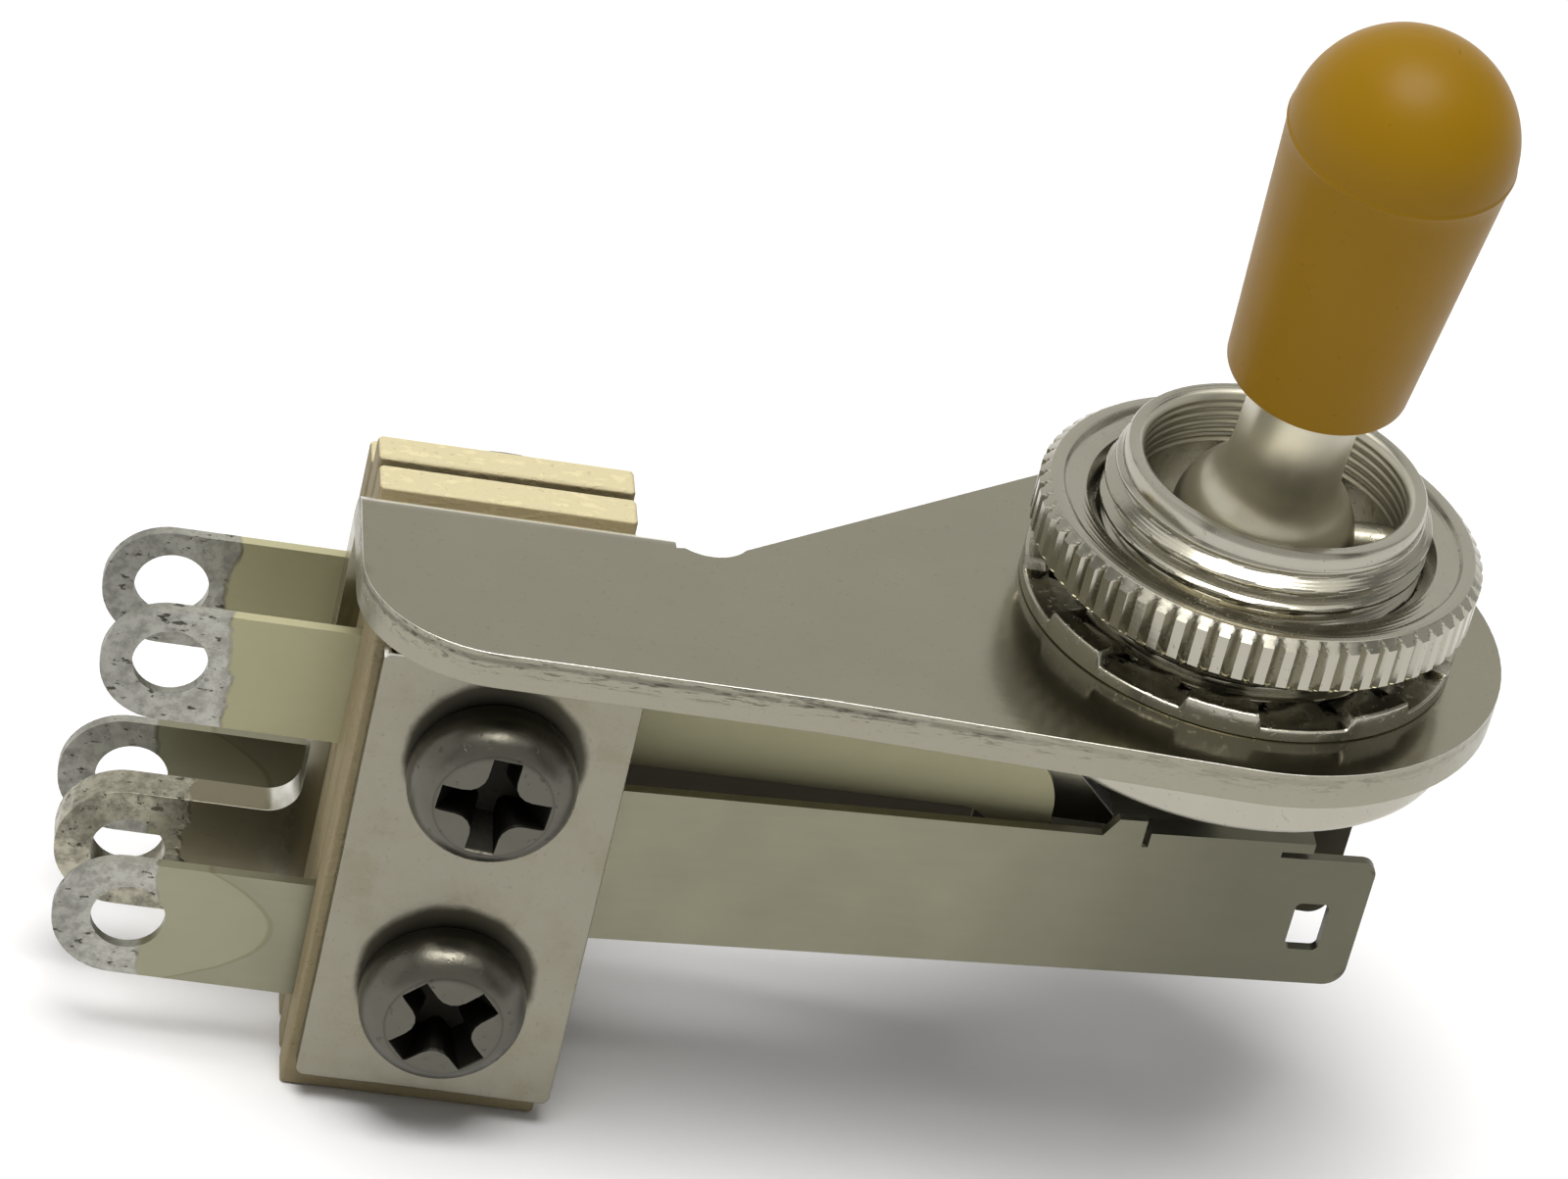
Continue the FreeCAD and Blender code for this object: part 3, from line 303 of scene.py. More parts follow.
def sheet_nickel(name, colour, lug_end=None, screwed=False):
    """Plated sheet with sheared, pitted edges and a painted glint on its rounded edges, and, if asked,
    tin on a lug or smears and a painted shadow crescent above the screws.
    """
    n = Nodes(name)
    cloud = n.noise(2.6, 3)
    grain = n.noise(0.25, 2, stretch=(5, 1, 1))
    speck = n.noise(0.16, 2).above(0.68, 0.05)
    top = n.facing_z.above(0.7, 0.3)
    edge = n.facing_z.absolute().below(0.45, 0.3)
    band = edge * n.z.above(PLATE_TOP - 1.45, 0.05)
    torn = band * n.z.above(PLATE_TOP - 0.75, 0.3) * (0.3 + n.x.below(-9, 8) * 0.7)
    shear = torn * n.z.above(PLATE_TOP - 0.4, 0.12) * n.noise(0.8, 4, 0.7, (4, 1, 1)).above(0.46, 0.1)
    scratches = n.noise(0.22, 5, 0.72, stretch=(5, 1, 0.6)).above(0.58, 0.05) * torn
    pits = scratches * 0.8 + shear * 0.7 * n.z.below(PLATE_TOP - 0.2, 0.1)
    dark = scaled(colour, 0.3)
    tone = n.mix(cloud * 0.5, colour, scaled(colour, 0.88))
    tone = n.mix(pits * 0.8, tone, dark)
    tone = n.mix(speck * 0.2, tone, dark)
    tone = n.mix(n.noise(4, 4, 0.6) * top * 0.5, tone, scaled(colour, 0.72))
    tone = n.mix(band * 0.2, tone, scaled(colour, 0.5))
    # Painted highlight: where a face turns away from the top, on the rounded edges, the colour goes
    # near-white and a little rougher, so the edges show a bright glint line.
    painted_glint = n.facing_z.above(0.25, 0.3) * n.facing_z.below(0.97, 0.04) * (1 - shear)
    tone = n.mix(painted_glint * 0.9, tone, (0.95, 0.94, 0.88))
    rough = 0.2 + cloud * 0.05 + grain * 0.03 + pits * 0.25 + band * 0.08 - top * 0.06 + painted_glint * 0.08
    bump = grain * 0.12 + n.noise(0.9, 3) * (0.25 + band * 1.4) + n.noise(0.3, 3) * torn * 1.6 - pits
    if screwed:
        wander = n.noise(1.2, 4, 0.6)
        # Painted shadow: a dark crescent round the top of each screw head, centred a little above the
        # screw, stands for the head's shadow and its dark reflection in the plate.
        painted_shadow_crescent = (screw_reach(n, 0.6) + wander * 0.3).below(3.35, 0.35) * n.y.below(0, 1)
        smear = n.noise(2.2, 5, 0.65).above(0.58, 0.3)
        tone = n.mix(smear * 0.35, tone, (0.2, 0.17, 0.1))
        tone = n.mix(painted_shadow_crescent * 0.85, tone, (0.03, 0.026, 0.018))
        rough = rough + painted_shadow_crescent * 0.2 + smear * 0.05
    if lug_end is not None:
        wander = n.noise(1.1, 3)
        tinned = (n.x + wander * 1.6).below(lug_end + 0.8, 0.2)
        blot = n.noise(0.5, 5, 0.72).above(0.52, 0.3)
        flux = n.noise(0.4, 4, 0.65).above(0.62, 0.04)
        brown = (n.x + wander * 2.5).below(lug_end + 4.6, 1.5) * (1 - tinned)
        tin = scaled(colour, 1.25)
        tone = n.mix(brown * 0.55, tone, (0.17, 0.14, 0.07))
        tone = n.mix(tinned, tone, n.mix(blot, tin, scaled(tin, 0.5)))
        tone = n.mix(tinned * flux * 0.8, tone, (0.03, 0.028, 0.02))
        rough = rough + tinned * (0.06 + blot * 0.14) + brown * 0.12
        bump = bump + tinned * (n.noise(0.7, 3) * 1.6 + 0.8)
    return n.finish(tone, rough, 1.0, bump, 0.02)


def turned_nickel(name, colour, rough, ring=0.12):
    """Bright turned metal with fine tool rings about the piece's own axis, and painted light inside
    radius 5 mm.
    """
    n = Nodes(name)
    radius = (n.x * n.x + n.y * n.y).root()
    wander = n.noise(1.5, 2)
    rings = n.noise(ring * 8, 2, stretch=(60, 60, 0.12))
    face = ((radius + wander * 0.02) * (2 * math.pi / ring)).wave()
    top = n.facing_z.absolute().above(0.8, 0.2)
    cloud = n.noise(1.2, 3)
    speck = n.noise(0.22, 3).above(0.68, 0.06)
    tone = n.mix(cloud * 0.5, colour, scaled(colour, 0.86))
    tone = n.mix(speck * 0.3, tone, scaled(colour, 0.5))
    # Painted light: inside radius 5 mm and above z 0.5 the colour is made brighter, to light the
    # bushing's bore wall; the same mask brightens the lever above its ball centre.
    bore = radius.below(5.0, 0.1) * n.z.above(0.5, 0.2)
    tone = n.mix(bore * 0.6, tone, tuple(min(1, c * 1.7) for c in colour))
    roughness = rough + cloud * 0.08 + speck * 0.15 + bore * 0.15
    bump = face * 0.35 * top + rings * 0.35 * (1 - top) + n.noise(0.4, 2) * 0.3
    return n.finish(tone, roughness, 1.0, bump, 0.006)


def plain_nickel(name, colour, rough, pits=0.3):
    """Plated or bare metal with soft blotches and small dark specks."""
    n = Nodes(name)
    cloud = n.noise(1.1, 3)
    speck = n.noise(0.3, 3).above(0.64, 0.06)
    tone = n.mix(cloud, colour, scaled(colour, 0.82))
    tone = n.mix(speck * pits, tone, scaled(colour, 0.45))
    roughness = rough + cloud * 0.12 + speck * 0.12
    return n.finish(tone, roughness, 1.0, n.noise(0.5, 3) - speck * 0.4, 0.012)


def screw_finish(name, colour):
    """Rolled steel, rougher down in the cross recess, where painted shade makes it much darker."""
    n = Nodes(name)
    cloud = n.noise(1.1, 3)
    speck = n.noise(0.35, 3).above(0.66, 0.05)
    recess_shade = screw_reach(n).below(2.12, 0.1) * n.y.above(CLAMP_FACE - SCREW_HEAD + 0.12, 0.1)
    tone = n.mix(cloud, colour, scaled(colour, 0.8))
    tone = n.mix(speck * 0.45, tone, scaled(colour, 0.4))
    # Painted shade: the cross recess is painted near-black, where shade falls.
    tone = n.mix(recess_shade * 0.95, tone, scaled(colour, 0.08))
    rough = 0.25 + cloud * 0.12 + speck * 0.12 + recess_shade * 0.2
    bump = n.noise(0.5, 3) * 1.4 - speck * 0.4
    return n.finish(tone, rough, 1.0, bump, 0.014)


def leaf_metal(name, colour, tin, tin_end, dull=0.0):
    """Olive-grey spring metal with mottled tin on its lug, with painted shade on faces turned in between
    the leaves and a painted dark reflection towards their free ends. dull takes its shine off outside the
    tin.
    """
    n = Nodes(name)
    wander = n.noise(1.8, 3)
    tinned = (n.x + wander * 1.2).below(tin_end + 0.6, 0.2)
    offsets = [(n.z - (height + PLATE_TOP)).absolute() for height in SCREW_DROPS]
    off = n.value("ShaderNodeMath", {"operation": "MINIMUM"}, dict(enumerate(offsets)))
    creep = n.x + off * off * 0.5 + wander * 0.5
    stain = creep.below(tin_end + 4.6, 0.25) * (1 - tinned)
    tide = creep.above(tin_end + 4.5, 0.1) * creep.below(tin_end + 4.7, 0.1)
    # Painted shade: faces turned in towards the stack's middle, right of the stack, are painted
    # near-black, as the gap between the leaves lies in shade.
    painted_gap_shade = (n.y * n.facing_y).below(-0.5, 0.2) * n.x.above(STACK_EDGE, 0.5)
    # Painted reflection: the leaves darken towards their free ends, standing in for the shadowed floor
    # they mirror.
    painted_shadow_reflection = n.x.above(-3, 14) * (1 - painted_gap_shade)
    rim = n.x.below(tin_end - 2.4, 2.5)
    grain = n.noise(0.35, 2, stretch=(14, 1, 1))
    cloud = n.noise(2.4, 4)
    blot = n.noise(0.5, 5, 0.72).above(0.52, 0.3)
    flux = n.noise(0.4, 4, 0.65, stretch=(1.5, 1, 0.7)).above(0.63, 0.04) * tinned
    plain = n.mix(cloud * 0.7 + grain * 0.2, colour, scaled(colour, 0.8))
    plain = n.mix(stain * 0.35, plain, (0.34, 0.34, 0.22))
    plain = n.mix(tide * 0.4, plain, (0.16, 0.14, 0.07))
    plain = n.mix(painted_shadow_reflection * 0.75, plain, scaled(colour, 0.35))
    plain = n.mix(painted_gap_shade * 0.95, plain, (0.022, 0.019, 0.012))
    plain = n.mix((1 - painted_gap_shade) * (1 - tinned) * (dull * 0.9), plain, (0.42, 0.4, 0.245))
    tin_tone = n.mix(blot * (0.6 + rim * 0.4), tin, scaled(tin, 0.5))
    tin_tone = n.mix(rim * 0.5, tin_tone, scaled(tin, 0.55))
    tone = n.mix(tinned, plain, tin_tone)
    tone = n.mix(flux * 0.8, tone, (0.03, 0.028, 0.02))
    rough = 0.3 + cloud * 0.1 + grain * 0.08 + tinned * 0.02 + blot * tinned * 0.16 + flux * 0.2
    rough = rough + (1 - tinned) * (dull * 0.25)
    bump = grain * 0.15 + n.noise(0.7, 3) * (0.15 + tinned * 1.6) + tinned * 0.5 - flux * 0.8
    return n.finish(tone, rough, 0.92 - (1 - tinned) * (dull * 0.62), bump, 0.03)


def laminate(name, colour):
    """Cream board with pale flecks, browner on its sides: partly the board's layers, partly painted
    shade.
    """
    n = Nodes(name)
    fleck = n.noise(0.3, 3, 0.6, stretch=(2.2, 1, 1)).above(0.56, 0.1)
    speck = n.noise(0.22, 2).above(0.68, 0.05)
    layers = n.noise(0.5, 2, stretch=(20, 0.16, 20))
    top = n.facing_z.above(0.6, 0.3)
    pale = tuple(min(1, c * 1.2) for c in colour)
    brown = (colour[0] * 0.3, colour[1] * 0.26, colour[2] * 0.2)
    tone = n.mix(fleck * 0.65, colour, pale)
    # The sides away from the top are mixed towards brown: partly the board's layers, partly painted shade
    # where the sides lie in shadow.
    tone = n.mix((1 - top) * (0.6 + layers * 0.35), tone, brown)
    tone = n.mix(speck * 0.3, tone, (0.3, 0.24, 0.12))
    bump = n.noise(0.2, 3) + layers * (1 - top) + fleck * 0.6
    return n.finish(tone, 0.62 + fleck * 0.1, 0.0, bump, 0.03, {"Specular IOR Level": 0.35})


def moulded(name, colour, rough, shade=0.8):
    """Moulded plastic with slow colour drift, faint flow marks and a few dust specks."""
    n = Nodes(name)
    drift = n.noise(5.0, 2)
    flow = n.noise(0.8, 3, stretch=(1, 1, 3))
    speck = n.noise(0.25, 2).above(0.74, 0.03)
    tone = n.mix(drift, colour, tuple(c * shade for c in colour))
    tone = n.mix(speck * 0.35, tone, scaled(colour, 0.4))
    rough = rough + flow * 0.08 + speck * 0.2
    return n.finish(tone, rough, 0.0, flow + n.noise(0.15, 2) * 0.25, 0.01, {"Specular IOR Level": 0.12})


# Mesh helpers


def placed(name, data):
    """A new object for a mesh, a light or a camera, linked to the scene."""
    thing = bpy.data.objects.new(name, data)
    bpy.context.scene.collection.objects.link(thing)
    return thing


@contextmanager
def edited(mesh):
    """Opens a mesh for editing and writes it back at the end."""
    work = bmesh.new()
    work.from_mesh(mesh)
    yield work
    work.to_mesh(mesh)
    work.free()


def evaluated(holder):
    """The holder's mesh with its modifiers applied. The holder is removed."""
    graph = bpy.context.evaluated_depsgraph_get()
    mesh = bpy.data.meshes.new_from_object(holder.evaluated_get(graph))
    bpy.data.objects.remove(holder)
    return mesh


def new_piece(name, mesh, material, body, nodes, matrix=None):
    """Puts a mesh in the scene as a piece that rides on a body and stands for CAD nodes."""
    piece = placed(name, mesh)
    if matrix is not None:
        piece.matrix_world = matrix
    mesh.materials.clear()
    mesh.materials.append(material)
    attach(piece, body)
    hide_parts(*nodes)
    return piece


def smooth(mesh, angle):
    """Shades a mesh smooth, with sharp edges where its faces turn by more than the angle."""
    mesh.shade_smooth()
    mesh.set_sharp_from_angle(angle=math.radians(angle))


def grid_mesh(name, points, angle, closed=True):
    """A mesh from rows of rings, in millimetres. A closed profile joins its last row to its first."""
    rows, columns = points.shape[:2]
    faces = []
    for i in range(rows if closed else rows - 1):
        j = (i + 1) % rows
        for k in range(columns):
            m = (k + 1) % columns
            faces.append((i * columns + k, i * columns + m, j * columns + m, j * columns + k))
    mesh = bpy.data.meshes.new(name)
    mesh.from_pydata((points.reshape(-1, 3) * MM).tolist(), [], faces)
    with edited(mesh) as work:
        bmesh.ops.remove_doubles(work, verts=work.verts, dist=WELD)
        bmesh.ops.recalc_face_normals(work, faces=work.faces)
    smooth(mesh, angle)
    return mesh


def ring(radii, angles, heights):
    """One ring of points round the upright axis."""
    level = heights + np.zeros(len(angles))
    return np.stack([radii * np.cos(angles), radii * np.sin(angles), level], 1)


def turn_profile(profile, columns, radius=None):
    """Rings of points from (radius, height) rows. radius(r, z, angles) may change a ring's radii."""
    angles = np.linspace(0, 2 * math.pi, columns, endpoint=False)
    rings = []
    for r, z in profile:
        radii = radius(r, z, angles) if radius else r
        rings.append(ring(radii, angles, z))
    return np.array(rings)


def arc(centre, radius, start, end, steps):
    """Points (radius, height) along an arc, angles in degrees from the outward direction."""
    turns = np.radians(np.linspace(start, end, steps))
    return [(centre[0] + radius * math.cos(t), centre[1] + radius * math.sin(t)) for t in turns]


def flat_faced(mesh, angle):
    """Smooths the mesh so that its large faces still look flat."""
    smooth(mesh, angle)
    holder = placed("shading_holder", mesh)
    weigh = holder.modifiers.new("shading", "WEIGHTED_NORMAL")
    weigh.weight = 100
    weigh.keep_sharp = True
    return evaluated(holder)


def welded_copy(node):
    """A copy of a CAD node's mesh with its doubled corners joined."""
    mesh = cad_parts[node].data.copy()
    with edited(mesh) as work:
        bmesh.ops.remove_doubles(work, verts=work.verts, dist=COPY_WELD)
    return mesh


def plain_copy(node, smoothing=30):
    """A copy of a CAD node's mesh, shaded flat on its flat faces."""
    return flat_faced(welded_copy(node), smoothing)


def softened(node, width, segments=2, angle=32, smoothing=40):
    """A copy of a CAD node's mesh with its sharp edges rounded."""
    mesh = welded_copy(node)
    limit = math.radians(FLAT_LIMIT)
    with edited(mesh) as work:
        bmesh.ops.dissolve_limit(work, angle_limit=limit, verts=work.verts, edges=work.edges)
    holder = placed(f"{node}_holder", mesh)
    bevel = holder.modifiers.new("edges", "BEVEL")
    bevel.width = width * MM
    bevel.segments = segments
    bevel.limit_method = "ANGLE"
    bevel.angle_limit = math.radians(angle)
    bevel.miter_outer = "MITER_ARC"
    bevel.use_clamp_overlap = True
    return flat_faced(evaluated(holder), smoothing)


def upright():
    """The frame that has its origin on the plate's top face."""
    return Matrix.Translation((0, 0, PLATE_TOP * MM))


def leaned():
    """The lever's own frame: upright about its pivot, then leaned."""
    turn = Matrix.Rotation(math.radians(LEAN), 4, "X")
    return Matrix.Translation((0, 0, (PIVOT_HEIGHT + PLATE_TOP) * MM)) @ turn


def cut(mesh, cutter):
    """The mesh with the cutter's space taken out of it."""
    solid = placed("solid", mesh)
    tool = placed("cutter", cutter)
    bite = solid.modifiers.new("bite", "BOOLEAN")
    bite.object = tool
    bite.operation = "DIFFERENCE"
    bite.solver = "EXACT"
    shaped = evaluated(solid)
    bpy.data.objects.remove(tool)
    return shaped


# Settings


def length(name, text, millimetres):
    """A length setting, given in millimetres."""
    return bpy.props.FloatProperty(
        name=name, description=text, default=millimetres * MM, unit="LENGTH", precision=5
    )


def colour(name, text, value):
    """A colour setting."""
    return bpy.props.FloatVectorProperty(
        name=name, description=text, default=value, size=3, subtype="COLOR", min=0, max=1
    )


class SwitchSizes(bpy.types.PropertyGroup):
    thread_pitch: length("Thread pitch", "Distance between the bushing's crests", 0.794)
    thread_depth: length("Thread depth", "From crest to root of the bushing's thread", 0.42)
    knurl_teeth: bpy.props.IntProperty(
        name="Knurl teeth", description="Teeth round the nut", default=64, min=12, max=120
    )
    knurl_depth: length("Knurl depth", "Depth of the grooves between the nut's teeth", 0.34)
    sheet_edge: length("Sheet edge", "Rounding on the folded plate's edges", 0.15)
    recess_depth: length("Recess depth", "Depth of the cross in each screw's head", 1.5)


class SwitchColours(bpy.types.PropertyGroup):
    tip: colour("Tip", "Moulded lever tip", (0.28, 0.15, 0.003))
    board: colour("Board", "Insulating board", (0.6, 0.53, 0.33))
    nickel: colour("Nickel", "Plated sheet", (0.35, 0.333, 0.262))
    bright: colour("Bright nickel", "Turned pieces and the washer", (0.42, 0.402, 0.335))
    steel: colour("Steel", "Screws", (0.13, 0.124, 0.102))
    leaf: colour("Leaf", "Spring leaves", (0.275, 0.266, 0.19))
    tin: colour("Tin", "Solder on the lugs", (0.42, 0.415, 0.37))
    # The foot is near-black partly as painted shade: it stands for the deep shade in the gap between the
    # leaves under the bushing.
    foot: colour("Foot", "Moulded actuator", (0.012, 0.012, 0.013))


class PieceOperator:
    bl_options = {"REGISTER", "UNDO"}

    @property
    def sizes(self):
        return bpy.context.scene.switch_sizes

    @property
    def colours(self):
        return bpy.context.scene.switch_colours


class BuildFrame(PieceOperator, bpy.types.Operator):
    """Folded plate with its tab, stop arm and ground lug"""

    bl_idname = "switch.build_frame"
    bl_label = "Folded frame"

    def execute(self, context):
        mesh = softened("frame", self.sizes.sheet_edge / MM, 3, 40, 50)
        material = sheet_nickel("plated_sheet", tuple(self.colours.nickel), GROUND_TIN)
        new_piece("folded_frame", mesh, material, "switch_body", ["frame"])
        return {"FINISHED"}


class BuildBushing(PieceOperator, bpy.types.Operator):
    """Threaded bushing with its bore and flange"""

    bl_idname = "switch.build_bushing"
    bl_label = "Bushing"

    def execute(self, context):
        pitch = self.sizes.thread_pitch / MM
        depth = self.sizes.thread_depth / MM

        def radius(r, z, angles):
            """The helical thread on the crest's rows. Other rows keep their radius."""
            if r != THREAD_CREST:
                return r
            turn = (z / pitch - angles / (2 * math.pi)) % 1.0
            rise = np.clip((1 - np.abs(turn - 0.5) * 2) * 1.35 - 0.15, 0, 1)
            fade = np.clip((THREAD_TOP - z) / THREAD_FADE, 0, 1)
            return THREAD_CREST - depth + depth * rise * fade

        profile = [(STEM_BORE, FLANGE_UNDER), (8.3, FLANGE_UNDER)]
        profile += arc((8.37, -3.0), 0.45, -90, 0, 7)
        profile += [(8.82, -1.5), (8.8, FLANGE_TOP), (6.05, FLANGE_TOP)]
        profile += [(THREAD_CREST, z) for z in np.arange(*THREAD_SPAN, THREAD_STEP)]
        profile += [(5.5, 5.8), (5.47, 6.22), (5.4, BUSHING_TOP), (5.05, BUSHING_TOP), (4.86, 6.16)]
        for z in np.arange(6.0, 4.2, -0.06):
            ripple = BORE_RIPPLE * math.sin(z * 2 * math.pi / BORE_RIPPLE_PITCH)
            profile.append((BORE + ripple, z))
        profile += [(BORE, 4.2), (BALL_SEAT, 4.15), (BALL_SEAT, 1.2), (STEM_BORE, 1.15)]
        mesh = grid_mesh("bushing_turned", turn_profile(profile, 192, radius), 40)
        material = turned_nickel("turned_bushing", tuple(self.colours.bright), 0.16)
        new_piece(
            "threaded_bushing", mesh, material, "switch_body", ["bushing"], upright()
        )
        return {"FINISHED"}


class BuildNut(PieceOperator, bpy.types.Operator):
    """Round nut with a straight knurl and a dished face"""

    bl_idname = "switch.build_nut"
    bl_label = "Knurled nut"

    def execute(self, context):
        teeth = self.sizes.knurl_teeth
        depth = self.sizes.knurl_depth / MM
        steps = np.arange(teeth)[:, None] + FLUTE_STEPS
        turns = (steps / teeth).reshape(-1) * 2 * math.pi
        groove = np.clip(1 - np.abs(FLUTE_STEPS - 0.5) / FLUTE_HALF_WIDTH, 0, 1)
        fluted = NUT_LAND - depth * np.tile(groove, teeth)
        bevel = np.linspace(0, 1, 6)
        low_bevel = [(BEVEL_START + BEVEL_REACH * t, 2.08 + 0.3 * t) for t in bevel]
        high_bevel = [(BEVEL_START + BEVEL_REACH * t, 4.22 - 0.32 * t) for t in bevel[::-1]]
        profile = [
            (NUT_BORE, 2.4), (6.4, 2.06), (7.3, 2.06), (7.7, 2.06), *low_bevel, *high_bevel,
            (7.7, 4.24), (7.42, 4.24), (7.3, 4.21), (7.2, 4.08), (7.1, 4.03), (6.5, 4.03),
            (6.4, 4.0), (NUT_BORE, 3.62),
        ]
        rings = []
        for r, z in profile:
            radii = np.minimum(r, fluted) if r >= BEVEL_START else r
            rings.append(ring(radii, turns, z))
        mesh = grid_mesh("nut_turned", np.array(rings), 24)
        material = turned_nickel("turned_nut", tuple(self.colours.bright), 0.17, 0.16)
        new_piece(
            "round_nut", mesh, material, "switch_body", ["knurled_nut"], upright()
        )
        return {"FINISHED"}


class BuildWasher(PieceOperator, bpy.types.Operator):
    """Stamped lock washer with a stepped rim and twisted teeth"""

    bl_idname = "switch.build_washer"
    bl_label = "Lock washer"

    def execute(self, context):
        turns = np.linspace(0, 360, WASHER_COLUMNS, endpoint=False)

        def past_nearest(count):
            """Degrees past the nearest of that many marks round the washer."""
            step = 360 / count
            return (turns + WASHER_TURN + step / 2) % step - step / 2

        height = 0.5 + 0.5 * np.clip((10.6 - np.abs(past_nearest(WASHER_SEGMENTS))) / 1.2, 0, 1)
        offset = past_nearest(WASHER_TEETH)
        tongue = np.clip((TOOTH_HALF_WIDTH - np.abs(offset)) / 0.6, 0, 1)
        bore = WASHER_BODY - 0.05 - TOOTH_REACH * tongue
        twist = tongue * offset / TOOTH_HALF_WIDTH * TOOTH_TWIST
        low = np.zeros(WASHER_COLUMNS)
        rows = [
            (bore, np.maximum(low, twist)), (WASHER_BODY, low), (7.88, low),
            (WASHER_RIM, low + 0.06), (WASHER_RIM, height - 0.12), (7.93, height - 0.05),
            (7.88, height - 0.01), (7.8, height), (7.2, height), (7.08, height * 0.7 + 0.15),
            (WASHER_BODY, low + 0.5), (bore + 0.08, 0.5 + twist), (bore, 0.42 + twist),
        ]
        rings = [ring(r, np.radians(turns), z) for r, z in rows]
        mesh = grid_mesh("washer_stamped", np.array(rings), 35)
        material = plain_nickel("stamped_washer", tuple(self.colours.bright), 0.14, 0.15)
        new_piece(
            "toothed_washer", mesh, material, "switch_body", ["lock_washer"],
            upright(),
        )
        return {"FINISHED"}


class BuildLever(PieceOperator, bpy.types.Operator):
    """Turned lever with its ball, its pivot pin and the moulded foot"""

    bl_idname = "switch.build_lever"
    bl_label = "Lever and foot"

    def execute(self, context):
        profile = [(0.0, STEM_END), (1.45, STEM_END), (STEM, -8.45), (STEM, -3.05)]
        profile += arc((0, 0), BALL, -61.7, 46, 34)[:-1]
        profile += [(2.36, 2.48), (2.24, 2.72), (2.14, 3.05), (2.08, 3.5), (SHAFT, 4.0)]
        profile += [(SHAFT, z) for z in np.arange(4.5, 15.9, 0.8)]
        profile += [(1.9, SHAFT_TOP), (0.0, SHAFT_TOP)]
        mesh = grid_mesh("lever_turned", turn_profile(profile, 96), 40, closed=False)
        bright = turned_nickel("turned_lever", tuple(self.colours.bright), 0.11, 0.3)
        new_piece(
            "ball_lever", mesh, bright, "lever_arm", ["lever"], leaned()
        )
        # Near-black partly as painted shade for the deep gap between the leaves under the bushing.
        foot = moulded("moulded_foot", tuple(self.colours.foot), 0.45)
        new_piece(
            "foot_moulding", softened("actuator", 0.12, 2), foot, "lever_arm",
            ["actuator"],
        )
        pin = plain_nickel("ground_pin", tuple(self.colours.nickel), 0.2)
        new_piece(
            "cross_pin", softened("pivot_pin", 0.1, 2), pin, "switch_body",
            ["pivot_pin"],
        )
        return {"FINISHED"}


class BuildTip(PieceOperator, bpy.types.Operator):
    """Moulded tip with its dome and parting ridge"""

    bl_idname = "switch.build_tip"
    bl_label = "Lever tip"

    def execute(self, context):
        profile = [(SHAFT_HOLE, TIP_HOLE_TOP), (SHAFT_HOLE, 7.75), (2.2, 7.62), (3.05, 7.6)]
        profile += arc((3.1, 7.79), 0.19, -90, -4, 6)
        for z in np.linspace(8.2, 18.15, 18):
            profile.append((TIP_FOOT + (TIP_WIDEST - TIP_FOOT) * (z - 7.8) / 10.4, z))
        profile += [(DOME, 18.2), (4.035, 18.24), (4.045, DOME_HEIGHT), (4.035, 18.36), (DOME, 18.4)]
        profile += arc((0, DOME_HEIGHT), DOME, 2.5, 90, 34)
        profile[-1] = (0.0, DOME_HEIGHT + DOME)
        rings = turn_profile(profile, 128)
        last = turn_profile([(0.0, TIP_HOLE_TOP)], 128)
        mesh = grid_mesh("tip_moulded", np.concatenate([last, rings]), 50, closed=False)
        material = moulded("amber_moulding", tuple(self.colours.tip), 0.36, 0.85)
        new_piece(
            "moulded_tip", mesh, material, "lever_arm", ["lever_tip"], leaned()
        )
        return {"FINISHED"}


class BuildLeaves(PieceOperator, bpy.types.Operator):
    """Spring leaves with tinned lugs, and their contact buttons"""

    bl_idname = "switch.build_leaves"
    bl_label = "Leaves and contacts"

    def execute(self, context):
        tin = tuple(self.colours.tin)
        leaf = tuple(self.colours.leaf)
        inner = leaf_metal("inner_leaf_metal", leaf, tin, INNER_TIN, 1.0)
        outer = leaf_metal("outer_leaf_metal", leaf, tin, OUTER_TIN)
        silver = plain_nickel("contact_silver", (0.75, 0.74, 0.7), 0.2)
        for side in ("near", "far"):
            new_piece(
                f"{side}_common_leaf", plain_copy(f"{side}_inner_leaf"),
                inner, "switch_body", [f"{side}_inner_leaf"],
            )
            new_piece(
                f"{side}_common_button", softened(f"{side}_inner_contact", 0.04, 2),
                silver, "switch_body", [f"{side}_inner_contact"],
            )
            new_piece(
                f"{side}_switched_button", softened(f"{side}_outer_contact", 0.04, 2),
                silver, f"{side}_leaf_end", [f"{side}_outer_contact"],
            )
            mesh = plain_copy(f"{side}_outer_leaf")
            piece = new_piece(
                f"{side}_switched_leaf", mesh, outer, "switch_body",
                [f"{side}_outer_leaf"],
            )
            piece.parent = None
            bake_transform(piece)
        return {"FINISHED"}


class BuildInsulators(PieceOperator, bpy.types.Operator):
    """Laminate boards between the leaves"""

    bl_idname = "switch.build_insulators"
    bl_label = "Insulators"

    def execute(self, context):
        board = laminate("cream_board", tuple(self.colours.board))
        for side in ("near", "far"):
            for place in ("inner", "middle", "outer"):
                node = f"{side}_{place}_insulator"
                new_piece(
                    f"{side}_{place}_board", softened(node, 0.04, 1), board, "switch_body",
                    [node],
                )
        return {"FINISHED"}


